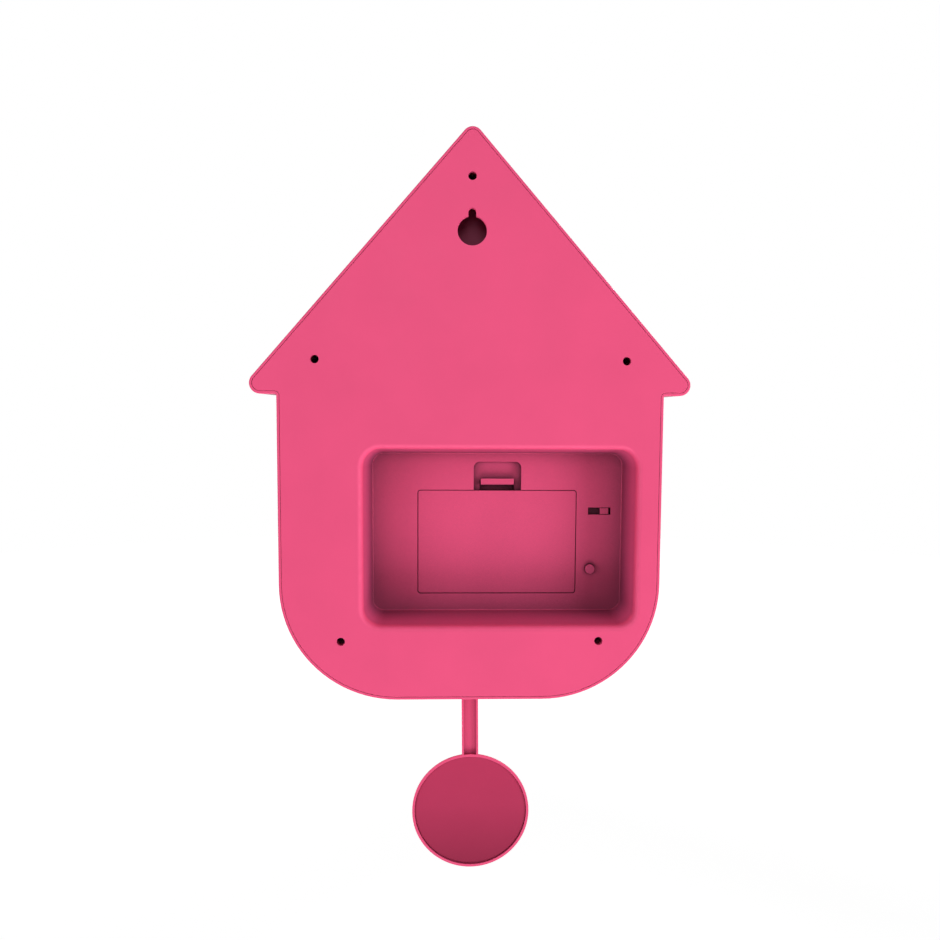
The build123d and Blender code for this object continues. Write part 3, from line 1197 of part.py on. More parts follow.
NODES = (
    front_housing, back_cover, cover_screws, battery_door, battery_cells, plain_contacts,
    sprung_contacts, circuit_board, board_chips, board_screws, switch_knob, switch_lever,
    slide_switch, push_button, key_switch, speaker_basket, speaker_cone, speaker_magnet,
    movement_base, movement_cover, movement_gasket, movement_nut, minute_arbor, reverse_wheel,
    hour_wheel, pendulum_coil, dial, hour_marks, hour_hand, minute_hand, hand_cap, door_frame,
    door_pins, door_springs, chassis, chassis_screws, sled, rack_gear, idler_gear, gear_axles,
    motor_can, motor_end_cap, motor_pinion, motor_screws, bird_body, bird_beak, bird_wings,
    bird_eyes, bird_perch, pendulum, bob_plate, pendulum_magnet, pendulum_bracket, pivot_pin, bracket_screws,
)

os.makedirs("parts", exist_ok=True)
for node in NODES:
    export_step(node(), f"parts/{node.__name__}.step")
export_step(door_leaf(-1), "parts/left_door.step")
export_step(door_leaf(1), "parts/right_door.step")
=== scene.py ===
import json
from math import cos, pi, radians, sin, tau

import bmesh
import bpy
from mathutils import Euler, Matrix, Vector


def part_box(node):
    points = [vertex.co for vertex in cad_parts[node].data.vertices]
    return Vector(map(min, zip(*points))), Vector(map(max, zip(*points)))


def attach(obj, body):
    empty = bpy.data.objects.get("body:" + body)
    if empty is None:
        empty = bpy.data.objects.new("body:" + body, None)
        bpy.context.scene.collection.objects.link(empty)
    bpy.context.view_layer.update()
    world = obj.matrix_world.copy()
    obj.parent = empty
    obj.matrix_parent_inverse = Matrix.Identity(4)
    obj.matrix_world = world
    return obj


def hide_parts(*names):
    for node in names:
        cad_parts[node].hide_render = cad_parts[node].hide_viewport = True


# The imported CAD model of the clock, which everything below dresses or rides on
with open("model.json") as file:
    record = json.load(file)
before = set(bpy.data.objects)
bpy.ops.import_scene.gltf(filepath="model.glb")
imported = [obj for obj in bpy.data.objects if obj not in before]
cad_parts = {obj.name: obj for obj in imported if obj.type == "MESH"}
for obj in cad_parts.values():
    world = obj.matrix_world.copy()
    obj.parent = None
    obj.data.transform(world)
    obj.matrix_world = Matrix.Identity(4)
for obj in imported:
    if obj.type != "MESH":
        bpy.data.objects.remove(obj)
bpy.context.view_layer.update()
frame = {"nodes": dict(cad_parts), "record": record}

# Sizes and places are in metres, turns in degrees
MM = 0.001
SHARP_ANGLE = 40.0
WELD = 0.001 * MM
BEVEL_SEGMENTS = 2
ROUND_BEVEL = 0.5

# Camera fitted to the photograph, with turns about x, y and z, and its lens and sensor in millimetres
CAMERA_PLACE = (0.01244, 0.41742, -0.10744)
CAMERA_TURNS = (85.78, -0.2992, 178.392)
CAMERA_LENS = 29.31
CAMERA_SENSOR = 36.0
CAMERA_CLIP = 10.0 * MM

# Dial and hands
HOURS = 12
MINUTES = 60
dial_low, dial_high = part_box("dial")
DIAL_Z = (dial_low[2] + dial_high[2]) / 2
DIAL_FRONT = -dial_low[1]
MINUTE_MARK = 0.6 * MM
MINUTE_RADII = (57.2 * MM, 59.0 * MM)
PRINT_RISE = 0.15 * MM
PRINT_EDGE = 0.04 * MM
NUMBER_SIZE = 9.5 * MM
NUMBER_RADIUS = 40.5 * MM
INLAY_SINK = 0.1 * MM
INLAY_RISE = 0.3 * MM
INLAY_EDGE = 0.08 * MM

# Inlays of the hands: name, hand, body, turn of the hand, and radii and widths at both ends
INLAYS = (
    ("hour_inlay", "hour_hand", "hour", 304.5, (8.0 * MM, 31.0 * MM), (2.2 * MM, 1.4 * MM)),
    ("minute_inlay", "minute_hand", "minute", 54.0, (8.0 * MM, 47.0 * MM), (1.6 * MM, 1.0 * MM)),
)

# Doors and their springs
door_low, door_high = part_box("left_door")
DOOR_Z = (door_low[2] + door_high[2]) / 2
LEAF_FRONT = 100.9 * MM
SEATING = 0.1 * MM
PANEL_X = 11.4 * MM
PANEL_SIZE = (11.6 * MM, 20.5 * MM)
PANEL_SPREAD = 12.2 * MM
PANEL_CORNER = 1.2 * MM
CORNER_STEPS = 5
PANEL_STEP = 1.9 * MM
PANEL_RISE = 0.45 * MM
PANEL_EDGE = 0.28 * MM
KNOB_X = 3.1 * MM
KNOB_SIDES = 32
SPRING_OUTER = 1.4 * MM
SPRING_WIRE = 0.3 * MM
SPRING_TURNS = 7
SPRING_STEPS = 20
SPRING_SIDES = 8

# Turned profile of a knob: radius and height over the leaf
KNOB_PROFILE = [
    (1.7 * MM, -0.1 * MM), (1.7 * MM, 0.35 * MM), (0.9 * MM, 0.55 * MM), (0.8 * MM, 1.3 * MM),
    (1.35 * MM, 1.8 * MM), (1.6 * MM, 2.4 * MM), (1.45 * MM, 3.0 * MM), (0.9 * MM, 3.4 * MM),
    (0.3 * MM, 3.5 * MM),
]

# Feathers on the egg that each wing is cut from
WING_PLACE = (8.6 * MM, -52.0 * MM, -53.5 * MM)
WING_PITCH = -18.0
WING_YAW = 6.0
WING_RADIUS = 5.4 * MM
WING_HALF = 14.0 * MM
FEATHER_RISE = 0.42 * MM
FEATHER_SINK = 0.35 * MM
FEATHER_STEPS = 10
FEATHER_SIDES = (-1.0, -0.7, -0.35, 0.0, 0.35, 0.7, 1.0)
FEATHER_CROWN = 0.45
FEATHER_ROOT_WIDTH = 0.7
FEATHER_TIP_WIDTH = 0.12
FEATHER_TIP_START = 0.5

# Rows from head to tail, in degrees: start and length along the egg, half width, and turns around it
FEATHER_ROWS = (
    (-42.0, 34.0, 16.0, (-30.0, 0.0, 30.0)),
    (-20.0, 36.0, 14.0, (-45.0, -15.0, 15.0, 45.0)),
    (2.0, 38.0, 16.0, (-30.0, 0.0, 30.0)),
    (24.0, 42.0, 18.0, (-45.0, -15.0, 15.0, 45.0)),
)

# Floor and light that comes from all round
AMBIENT = 0.2
FLOOR_Z = -1.6
FLOOR_RADIUS = 9.0
FLOOR_SIDES = 96
FLOOR_TONE = 0.8
FLOOR_LIFT = (0.65, 0.95)
FLOOR_FADE = (1.0, 4.0)
SEEN_RAYS = ("Is Camera Ray", "Is Glossy Ray", "Is Transmission Ray")

# Lamps: name, way from the target, size across, and level
LAMP_TARGET = (0.0, -0.05, -0.17)
LAMP_REACH = 1.4
LAMPS = (
    ("back_left", (0.84, 0.545, -0.02), 0.6, 0.26),
    ("back_right", (-0.84, 0.545, -0.02), 0.6, 0.54),
    ("back_low", (-0.05, 0.56, -0.83), 0.6, 0.38),
    ("back_high", (0.05, 0.50, 0.87), 0.6, 0.06),
    ("back_face", (0.05, 0.96, 0.28), 0.5, 0.15),
    ("front_key", (-0.55, -0.75, 0.40), 0.7, 0.56),
    ("front_fill", (0.70, -0.70, 0.10), 0.8, 0.38),
    ("front_low", (0.05, -0.80, -0.60), 0.7, 0.20),
)


def linear(value):
    """Linear value of one sRGB channel from 0 to 255."""
    share = value / 255
    return share / 12.92 if share <= 0.04045 else ((share + 0.055) / 1.055) ** 2.4


def srgb(red, green, blue):
    """Linear colour of three sRGB channels from 0 to 255."""
    return (linear(red), linear(green), linear(blue), 1.0)


def shaded(colour, factor):
    """A colour made darker or lighter."""
    return tuple(min(1.0, channel * factor) for channel in colour[:3]) + (1.0,)


WHITE = (1.0, 1.0, 1.0, 1.0)
BLACK = (0.0, 0.0, 0.0, 1.0)
PINK = srgb(234, 82, 127)

# Plain finishes: noise scales are in cells a metre
SATIN = 0.5
LEAST_ROUGH = 0.02
DULL_SPECULAR = 0.15
GLOSSY_SPECULAR = 0.5
NOISE_BAND = (0.3, 0.7)
NOISE_DETAIL = 3.0
MOTTLE_SCALE = 28.0
MOTTLE = 0.025
GLOSS_SCALE = 60.0
GLOSS = 0.06
GRAIN_SCALE = 1400.0
GRAIN_DETAIL = 2.0
GRAIN = 0.012 * MM
FINE_GRAIN = 0.005 * MM
METAL_MOTTLE_SCALE = 300.0
METAL_MOTTLE = 0.08
METAL_GLOSS_SCALE = 500.0
METAL_GLOSS = 0.08
METAL_GRAIN_SCALE = 900.0
METAL_GRAIN = 0.006 * MM

# Sockets of Blender's Mix node when it mixes colours
MIX_SHARE = 0
MIX_FIRST = 6
MIX_SECOND = 7
MIX_RESULT = 2

# Painted shade in recesses: darker tones by how open a place is, and for the well the shares of a depth
# where they count
OPENNESS_SAMPLES = 6
HOLLOW_REACH = 90.0 * MM
# The wide painted shade tilts its normal down and towards -x, so it falls as if more light came from below
HOLLOW_LEAN = (-0.08, 0.0, -0.3)
HOLLOW_SPAN = 60.0 * MM
HOLLOW_SHADE_TONES = [(0.47, (0.25, 0.31, 0.32, 1.0)), (0.93, WHITE)]
HOLLOW_STOPS = [(0.14, BLACK), (0.4, WHITE), (0.55, WHITE), (0.8, BLACK)]
WALL_SHADE_TONES = [(0.7, (0.78, 0.97, 0.98, 1.0)), (0.95, WHITE)]
WALL_STOPS = [(0.05, BLACK), (0.1, WHITE), (0.36, WHITE), (0.4, BLACK)]
CREVICE_REACH = 6.0 * MM
CREVICE_SHADE_TONES = [(0.08, (0.08, 0.07, 0.08, 1.0)), (0.5, WHITE)]
# Painted shade in the pendulum rod's channel
CHANNEL_REACH = 6.0 * MM
CHANNEL_SHADE_TONES = [(0.5, (0.62, 0.62, 0.68, 1.0)), (0.95, WHITE)]

# Painted highlight: paler rims round the back, within a depth from the back face
RIM_HIGHLIGHT_TONE = (1.13, 1.22, 1.18, 1.0)
RIM_HIGHLIGHT_DEPTH = 5.0 * MM
RIM_HIGHLIGHT_STOPS = [(0.0, WHITE), (0.06, RIM_HIGHLIGHT_TONE), (0.5, RIM_HIGHLIGHT_TONE), (1.0, WHITE)]

# Pendulum
# The rod is a darker copy of the shell's pink: painted shade
ROD_PAINTED_SHADE = 0.93
BOB_SPECULAR = 0.05
# Painted shade on the bob's plate: a darker pink, darker still towards its foot
BOB_SHADE_TOP = srgb(184, 56, 92)
BOB_SHADE_FOOT = srgb(146, 40, 70)
BOB_SHADE_STOPS = [(0.0, BOB_SHADE_FOOT), (0.55, shaded(BOB_SHADE_TOP, 0.93)), (1.0, BOB_SHADE_TOP)]
BOB_SPECKLE_SCALE = 40.0
BOB_SPECKLE = (0.97, 0.97, 0.97, 1.0)

# Cells, and the narrow place where one look changes to the next
CELL_COUNT = 3
CELL_SEAM = 0.001 * MM
CELL_ROUGH = 0.28
CELL_SLEEVE = srgb(206, 208, 212)
CELL_BAND = srgb(96, 108, 128)
CELL_STEEL = srgb(168, 170, 174)
CELL_BANDS = [
    (0.0, CELL_STEEL), (0.09, CELL_SLEEVE), (0.7, CELL_BAND), (0.74, CELL_SLEEVE), (0.95, CELL_STEEL),
]
CELL_SCUFF_SCALE = 90.0
CELL_SCUFF = (0.94, 0.94, 0.94, 1.0)
CELL_GLOSS = 0.08
CELL_GRAIN = 0.004 * MM


class Finish:
    """Node material with a colour mottle, uneven roughness and a fine grain."""

    def __init__(self, name, colour, rough=SATIN, specular=DULL_SPECULAR, metallic=0.0):
        self.material = bpy.data.materials.new(name)
        self.material.use_nodes = True
        self.nodes = self.material.node_tree.nodes
        self.links = self.material.node_tree.links
        self.shader = self.nodes["Principled BSDF"]
        self.shader.inputs["Metallic"].default_value = metallic
        self.shader.inputs["Specular IOR Level"].default_value = specular
        self.place = self.nodes.new("ShaderNodeTexCoord").outputs["Object"]
        self.colour = colour
        self.rough = rough

    def noise(self, scale, stretch=None, detail=NOISE_DETAIL):
        """Cloudy value over the surface, drawn out by a stretch."""
        node = self.nodes.new("ShaderNodeTexNoise")
        node.inputs["Scale"].default_value = scale
        node.inputs["Detail"].default_value = detail
        place = self.place
        if stretch:
            mapping = self.nodes.new("ShaderNodeMapping")
            mapping.inputs["Scale"].default_value = stretch
            self.links.new(place, mapping.inputs["Vector"])
            place = mapping.outputs["Vector"]
        self.links.new(place, node.inputs["Vector"])
        return node.outputs["Fac"]

    def ramp(self, factor, stops, interpolation="LINEAR"):
        """Colour that goes through stops as a factor grows."""
        node = self.nodes.new("ShaderNodeValToRGB")
        node.color_ramp.interpolation = interpolation
        points = node.color_ramp.elements
        while len(points) < len(stops):
            points.new(1.0)
        for point, (position, colour) in zip(points, stops):
            point.position = position
            point.color = colour
        self.links.new(factor, node.inputs["Fac"])
        return node.outputs["Color"]

    def spread(self, value, start, end, low=0.0, high=1.0):
        """Value between start and end, taken to between low and high."""
        node = self.nodes.new("ShaderNodeMapRange")
        for name, bound in (("From Min", start), ("From Max", end), ("To Min", low), ("To Max", high)):
            node.inputs[name].default_value = bound
        self.links.new(value, node.inputs["Value"])
        return node.outputs["Result"]

    def along(self, axis, start, end):
        """Share from nought to one between two places on an axis."""
        split = self.nodes.new("ShaderNodeSeparateXYZ")
        self.links.new(self.place, split.inputs["Vector"])
        return self.spread(split.outputs[axis], start, end)

    def cloud(self, scale, low, high, stretch=None):
        """Colour that drifts between two tones over the surface."""
        return self.ramp(self.noise(scale, stretch), list(zip(NOISE_BAND, (low, high))))

    def mottle(self, scale, amount, stretch=None):
        """The finish's own colour, a little darker here and lighter there."""
        return self.cloud(scale, shaded(self.colour, 1 - amount), shaded(self.colour, 1 + amount), stretch)

    def mix(self, first, second, share=None, blend="MIX"):
        """Second colour laid on the first, in full or by a share."""
        node = self.nodes.new("ShaderNodeMix")
        node.data_type = "RGBA"
        node.blend_type = blend
        node.inputs[MIX_SHARE].default_value = 1.0
        if share:
            self.links.new(share, node.inputs[MIX_SHARE])
        self.links.new(first, node.inputs[MIX_FIRST])
        self.links.new(second, node.inputs[MIX_SECOND])
        return node.outputs[MIX_RESULT]

    def times(self, first, second, share=None):
        """Product of two colours, in full or by a share."""
        return self.mix(first, second, share, "MULTIPLY")

    def leaning(self, lean):
        """The surface's normal, leant over by a vector."""
        normal = self.nodes.new("ShaderNodeNewGeometry").outputs["Normal"]
        leant = self.nodes.new("ShaderNodeVectorMath")
        leant.inputs[1].default_value = lean
        unit = self.nodes.new("ShaderNodeVectorMath")
        unit.operation = "NORMALIZE"
        self.links.new(normal, leant.inputs[0])
        self.links.new(leant.outputs["Vector"], unit.inputs[0])
        return unit.outputs["Vector"]

    def openness(self, reach, lean=(0.0, 0.0, 0.0)):
        """Share of the space within reach that is open, one on a plain face."""
        node = self.nodes.new("ShaderNodeAmbientOcclusion")
        node.samples = OPENNESS_SAMPLES
        node.inputs["Distance"].default_value = reach
        self.links.new(self.leaning(lean), node.inputs["Normal"])
        return node.outputs["AO"]

    def paint(self, colour):
        """Gives the surface a colour."""
        self.links.new(colour, self.shader.inputs["Base Color"])

    def gloss(self, scale, amount, stretch=None):
        """Gives the surface a slow change of roughness."""
        low, high = max(LEAST_ROUGH, self.rough - amount), min(1.0, self.rough + amount)
        rough = self.spread(self.noise(scale, stretch), *NOISE_BAND, low, high)
        self.links.new(rough, self.shader.inputs["Roughness"])

    def grain(self, scale, depth, stretch=None):
        """Gives the surface a fine bump of a depth."""
        node = self.nodes.new("ShaderNodeBump")
        node.inputs["Strength"].default_value = 1.0
        node.inputs["Distance"].default_value = depth
        self.links.new(self.noise(scale, stretch, GRAIN_DETAIL), node.inputs["Height"])
        self.links.new(node.outputs["Normal"], self.shader.inputs["Normal"])


def plastic(finish, tone, grain):
    """Material of a finish in a tone, with the uneven gloss and the grain of a moulding."""
    finish.paint(tone)
    finish.gloss(GLOSS_SCALE, GLOSS)
    finish.grain(GRAIN_SCALE, grain)
    return finish.material


def moulded(name, colour, rough=SATIN, specular=DULL_SPECULAR, mottle=MOTTLE, grain=GRAIN):
    """Satin moulded plastic."""
    finish = Finish(name, colour, rough, specular)
    return plastic(finish, finish.mottle(MOTTLE_SCALE, mottle), grain)


def shell(name, colour):
    """Moulded plastic with a painted highlight on the rims round its back and painted shade in recesses.
    """
    finish = Finish(name, colour)
    # Painted highlight, paler near the back face
    rim_highlight = finish.ramp(finish.along("Y", 0.0, -RIM_HIGHLIGHT_DEPTH), RIM_HIGHLIGHT_STOPS)
    tone = finish.times(finish.mottle(MOTTLE_SCALE, MOTTLE), rim_highlight)
    depth = finish.along("Y", 0.0, -HOLLOW_SPAN)
    wide, narrow = finish.openness(HOLLOW_REACH, HOLLOW_LEAN), finish.openness(CREVICE_REACH)
    # Painted shade in the well and on its walls, then in crevices
    for tones, stops in ((HOLLOW_SHADE_TONES, HOLLOW_STOPS), (WALL_SHADE_TONES, WALL_STOPS)):
        tone = finish.times(tone, finish.ramp(wide, tones), finish.ramp(depth, stops))
    return plastic(finish, finish.times(tone, finish.ramp(narrow, CREVICE_SHADE_TONES)), FINE_GRAIN)


def channelled(name, colour):
    """Moulded plastic with painted shade down in a channel."""
    finish = Finish(name, colour)
    shade = finish.ramp(finish.openness(CHANNEL_REACH), CHANNEL_SHADE_TONES)
    return plastic(finish, finish.times(finish.mottle(MOTTLE_SCALE, MOTTLE), shade), FINE_GRAIN)


def plate(name):
    """Plastic plate with painted shade: a darker pink that grows darker towards its foot."""
    finish = Finish(name, BOB_SHADE_TOP, specular=BOB_SPECULAR)
    low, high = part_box("bob_plate")
    shade_fall = finish.ramp(finish.along("Z", low[2], high[2]), BOB_SHADE_STOPS)
    speckle = finish.cloud(BOB_SPECKLE_SCALE, BOB_SPECKLE, WHITE)
    return plastic(finish, finish.times(shade_fall, speckle), GRAIN)


def metal(name, colour, rough, stretch):
    """Bare metal with drawn or turned marks along one way."""
    finish = Finish(name, colour, rough, GLOSSY_SPECULAR, metallic=1.0)
    finish.paint(finish.mottle(METAL_MOTTLE_SCALE, METAL_MOTTLE, stretch))
    finish.gloss(METAL_GLOSS_SCALE, METAL_GLOSS, stretch)
    finish.grain(METAL_GRAIN_SCALE, METAL_GRAIN, stretch)
    return finish.material


def cell_jacket(name):
    """Plain sleeve of a cell with a band near its nub: the outer cells point up, the middle one down."""
    finish = Finish(name, CELL_SLEEVE, CELL_ROUGH, GLOSSY_SPECULAR)
    low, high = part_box("battery_cells")
    outer = finish.ramp(finish.along("Z", low[2], high[2]), CELL_BANDS, "CONSTANT")
    inner = finish.ramp(finish.along("Z", high[2], low[2]), CELL_BANDS, "CONSTANT")
    middle, half_cell = (low[0] + high[0]) / 2, (high[0] - low[0]) / (2 * CELL_COUNT)
    left, right = middle - half_cell, middle + half_cell
    tone = finish.mix(outer, inner, finish.along("X", left, left + CELL_SEAM))
    tone = finish.mix(tone, outer, finish.along("X", right, right + CELL_SEAM))
    finish.paint(finish.times(tone, finish.cloud(CELL_SCUFF_SCALE, CELL_SCUFF, WHITE)))
    finish.gloss(CELL_SCUFF_SCALE, CELL_GLOSS)
    finish.grain(GRAIN_SCALE, CELL_GRAIN)
    return finish.material


PLASTICS = {
    "pink_doors": dict(colour=srgb(246, 158, 186)),
    "dial_white": dict(colour=srgb(244, 240, 236), rough=0.4),
    "dial_pink": dict(colour=srgb(222, 62, 112), rough=0.35),
    "hand_dark": dict(colour=srgb(58, 52, 60), rough=0.3, specular=GLOSSY_SPECULAR),
    "bird_white": dict(colour=srgb(246, 243, 238), rough=0.6),
    "beak_yellow": dict(colour=srgb(246, 178, 44), rough=0.35),
    "eye_black": dict(colour=srgb(18, 16, 18), rough=0.08, specular=0.6),
    "works_white": dict(colour=srgb(232, 230, 222), rough=0.4),
    "works_black": dict(colour=srgb(34, 34, 36), rough=0.45),
    "board_green": dict(colour=srgb(22, 96, 58), rough=0.3, specular=GLOSSY_SPECULAR),
    "speaker_paper": dict(colour=srgb(46, 44, 44), rough=0.85, mottle=0.12, grain=0.06 * MM),
    "rubber": dict(colour=srgb(40, 38, 38), rough=0.75),
}
METALS = {
    "steel": dict(colour=srgb(176, 178, 182), rough=0.32, stretch=(1.0, 1.0, 0.15)),
    "motor_metal": dict(colour=srgb(164, 166, 168), rough=0.38, stretch=(0.2, 1.0, 1.0)),
    "brass": dict(colour=srgb(206, 168, 92), rough=0.28, stretch=(1.0, 0.15, 1.0)),
    "speaker_metal": dict(colour=srgb(150, 152, 156), rough=0.4, stretch=(1.0, 0.2, 1.0)),
    "coil_copper": dict(colour=srgb(186, 104, 62), rough=0.3, stretch=(1.0, 6.0, 1.0)),
}
MATERIALS = {
    "pink_shell": shell("pink_shell", PINK),
    "bob_pink": plate("bob_pink"),
    "cell_jacket": cell_jacket("cell_jacket"),
}
MATERIALS.update((name, moulded(name, **look)) for name, look in PLASTICS.items())
MATERIALS.update((name, metal(name, **look)) for name, look in METALS.items())
# The pendulum wears a darker copy of the pink as painted shade, with painted shade in its channel
OWN_MATERIALS = {"pendulum": channelled("pink_pendulum", shaded(PINK, ROD_PAINTED_SHADE))}


def dress_cad():
    """Gives each CAD node its own material, or that of its record slot."""
    for row in frame["record"]["subparts"]:
        mesh = frame["nodes"][row["node"]].data
        mesh.materials.clear()
        mesh.materials.append(OWN_MATERIALS.get(row["node"]) or MATERIALS[row["material_slot"]])


def on_dial(turn, across, along):
    """Place in x and z, from a clockwise turn and sizes across and along it."""
    angle = radians(turn)
    x = across * cos(angle) + along * sin(angle)
    z = along * cos(angle) - across * sin(angle)
    return (x, DIAL_Z + z)


def dial_bar(turn, radii, widths):
    """Outline of a bar that points out from the dial's middle, from its radii and its widths there."""
    (inner, outer), (root, tip) = radii, widths
    corners = ((-root / 2, inner), (root / 2, inner), (tip / 2, outer), (-tip / 2, outer))
    return [on_dial(turn, *corner) for corner in corners]


def rounded(centre, size, radius):
    """Outline of a rectangle with round corners."""
    outline = []
    for corner, (side_x, side_z) in enumerate(((1, 1), (-1, 1), (-1, -1), (1, -1))):
        x = centre[0] + side_x * (size[0] / 2 - radius)
        z = centre[1] + side_z * (size[1] / 2 - radius)
        for step in range(CORNER_STEPS + 1):
            angle = pi / 2 * (corner + step / CORNER_STEPS)
            outline.append((x + radius * cos(angle), z + radius * sin(angle)))
    return outline


def raised(shape, outline, seat, rise, edge):
    """Adds a plate with a rounded edge to a front face, from an outline in x and z."""
    face = shape.faces.new([shape.verts.new((x, -seat, z)) for x, z in outline])
    grown = bmesh.ops.extrude_face_region(shape, geom=[face])["geom"]
    top = [item for item in grown if isinstance(item, bmesh.types.BMVert)]
    rim = [item for item in grown if isinstance(item, bmesh.types.BMEdge)]
    bmesh.ops.translate(shape, verts=top, vec=(0, -rise, 0))
    bmesh.ops.bevel(
        shape, geom=rim, offset=edge, segments=BEVEL_SEGMENTS, profile=ROUND_BEVEL, affect="EDGES"
    )


def strip(shape, near, far):
    """Adds a row of faces between two lines of points."""
    for lane in range(len(near) - 1):
        shape.faces.new((near[lane], near[lane + 1], far[lane + 1], far[lane]))


def join_rings(shape, rings):
    """Adds the skin along rings of points, closed at both ends."""
    for near, far in zip(rings, rings[1:]):
        strip(shape, near + near[:1], far + far[:1])
    shape.faces.new(rings[0])
    shape.faces.new(rings[-1])


def round_turns(sides):
    """Angles in radians that share out a full turn."""
    return [tau * side / sides for side in range(sides)]


def lathe(shape, profile, x, z, sides):
    """Adds a turned form on an axis along the depth, from radius and depth pairs."""
    rings = []
    for radius, depth in profile:
        places = [(x + radius * cos(turn), -depth, z + radius * sin(turn)) for turn in round_turns(sides)]
        rings.append([shape.verts.new(place) for place in places])
    join_rings(shape, rings)


def tube(shape, points, radius, sides):
    """Adds a round wire along points."""
    rings = []
    for index, point in enumerate(points):
        ahead = points[min(index + 1, len(points) - 1)] - points[max(index - 1, 0)]
        across = ahead.cross(Vector((0, 0, 1))).normalized()
        over = across.cross(ahead).normalized()
        places = [point + radius * (across * cos(turn) + over * sin(turn)) for turn in round_turns(sides)]
        rings.append([shape.verts.new(place) for place in places])
    join_rings(shape, rings)


def add_object(name, data):
    """Adds an object to the scene."""
    item = bpy.data.objects.new(name, data)
    bpy.context.scene.collection.objects.link(item)
    return item


def finish_piece(name, shape, body, slot):
    """Turns a shape into a piece that rides on a body and wears a slot's material."""
    bmesh.ops.recalc_face_normals(shape, faces=shape.faces)
    mesh = bpy.data.meshes.new(name)
    shape.to_mesh(mesh)
    shape.free()
    mesh.shade_smooth()
    mesh.set_sharp_from_angle(angle=radians(SHARP_ANGLE))
    mesh.materials.append(MATERIALS[slot])
    piece = add_object(name, mesh)
    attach(piece, body)
    return piece


def make_minute_track():
    """Printed strokes for the minutes between the hour bars."""
    shape = bmesh.new()
    for minute in range(MINUTES):
        if minute % (MINUTES // HOURS):
            stroke = dial_bar(360 * minute / MINUTES, MINUTE_RADII, (MINUTE_MARK, MINUTE_MARK))
            raised(shape, stroke, DIAL_FRONT, PRINT_RISE, PRINT_EDGE)
    finish_piece("minute_track", shape, "case", "hand_dark")


def make_numbers():
    """Plain hour numbers inside the bars."""
    shape = bmesh.new()
    for hour in range(1, HOURS + 1):
        text = bpy.data.curves.new("number", "FONT")
        text.body = str(hour)
        text.size = NUMBER_SIZE
        text.align_x, text.align_y = "CENTER", "CENTER"
        text.extrude = PRINT_RISE
        holder = bpy.data.objects.new("number", text)
        mesh = bpy.data.meshes.new_from_object(holder)
        x, z = on_dial(360 * hour / HOURS, 0, NUMBER_RADIUS)
        upright = Matrix(((1, 0, 0, x), (0, 0, -1, -DIAL_FRONT), (0, 1, 0, z), (0, 0, 0, 1)))
        mesh.transform(upright)
        shape.from_mesh(mesh)
        bpy.data.objects.remove(holder)
        bpy.data.curves.remove(text)
        bpy.data.meshes.remove(mesh)
    bmesh.ops.remove_doubles(shape, verts=shape.verts, dist=WELD)
    finish_piece("dial_numbers", shape, "case", "hand_dark")


def make_hand_inlay(name, node, body, turn, radii, widths):
    """Pale strip let into a hand, narrower towards its tip."""
    shape = bmesh.new()
    front = -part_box(node)[0][1]
    raised(shape, dial_bar(turn, radii, widths), front - INLAY_SINK, INLAY_RISE, INLAY_EDGE)
    finish_piece(name, shape, body, "dial_white")


def make_door_trim(side, body, name):
    """Two stepped panels and a turned knob on a door."""
    shape = bmesh.new()
    field = tuple(size - 2 * PANEL_STEP for size in PANEL_SIZE)
    for z in (DOOR_Z - PANEL_SPREAD, DOOR_Z + PANEL_SPREAD):
        for step, size in enumerate((PANEL_SIZE, field)):
            outline = rounded((side * PANEL_X, z), size, PANEL_CORNER)
            seat = LEAF_FRONT + step * PANEL_RISE - SEATING
            raised(shape, outline, seat, PANEL_RISE + SEATING, PANEL_EDGE)
    finish_piece(name + "_panels", shape, body, "pink_doors")
    shape = bmesh.new()
    profile = [(radius, LEAF_FRONT + forward) for radius, forward in KNOB_PROFILE]
    lathe(shape, profile, side * KNOB_X, DOOR_Z, KNOB_SIDES)
    finish_piece(name + "_knob", shape, body, "brass")


def on_wing(side, along, around, out):
    """Place on a wing's egg, from the turns along and around it and a height over its skin."""
    ring = WING_RADIUS * cos(radians(along))
    x, z = side * ring * cos(radians(around)), ring * sin(radians(around))
    spot = Vector((x, WING_HALF * sin(radians(along)), z))
    halves = (WING_RADIUS, WING_HALF, WING_RADIUS)
    up = Vector([place / half ** 2 for place, half in zip(spot, halves)]).normalized()
    pitch = Matrix.Rotation(radians(WING_PITCH), 3, "X")
    yaw = Matrix.Rotation(radians(side * WING_YAW), 3, "Z")
    return Vector((side * WING_PLACE[0],) + WING_PLACE[1:]) + pitch @ yaw @ (spot + out * up)


def feather(shape, side, start, length, half, around):
    """Adds one feather, rising from its root to a round tip."""
    top, under = [], []
    for step in range(FEATHER_STEPS + 1):
        share = step / FEATHER_STEPS
        past = max(0.0, (share - FEATHER_TIP_START) / (1 - FEATHER_TIP_START))
        tip_width, root_width = (1 - past ** 2) ** 0.5, FEATHER_ROOT_WIDTH + share
        width = half * max(FEATHER_TIP_WIDTH, tip_width) * min(1.0, root_width)
        along = start + length * share
        rises = [FEATHER_RISE * share * (1 - FEATHER_CROWN * across ** 2) for across in FEATHER_SIDES]
        turns = [around + width * across for across in FEATHER_SIDES]
        top.append([shape.verts.new(on_wing(side, along, *spot)) for spot in zip(turns, rises)])
        under.append([shape.verts.new(on_wing(side, along, turn, -FEATHER_SINK)) for turn in turns])
    for skin in (top, under):
        for near, far in zip(skin, skin[1:]):
            strip(shape, near, far)
    for lane in (0, -1):
        strip(shape, [row[lane] for row in top], [row[lane] for row in under])
    for step in (0, -1):
        strip(shape, top[step], under[step])


def make_feathers(side, name):
    """Rows of feathers that overlap towards the tail."""
    shape = bmesh.new()
    for start, length, half, turns in FEATHER_ROWS:
        for around in turns:
            feather(shape, side, start, length, half, around)
    finish_piece(name, shape, "bird", "pink_doors")


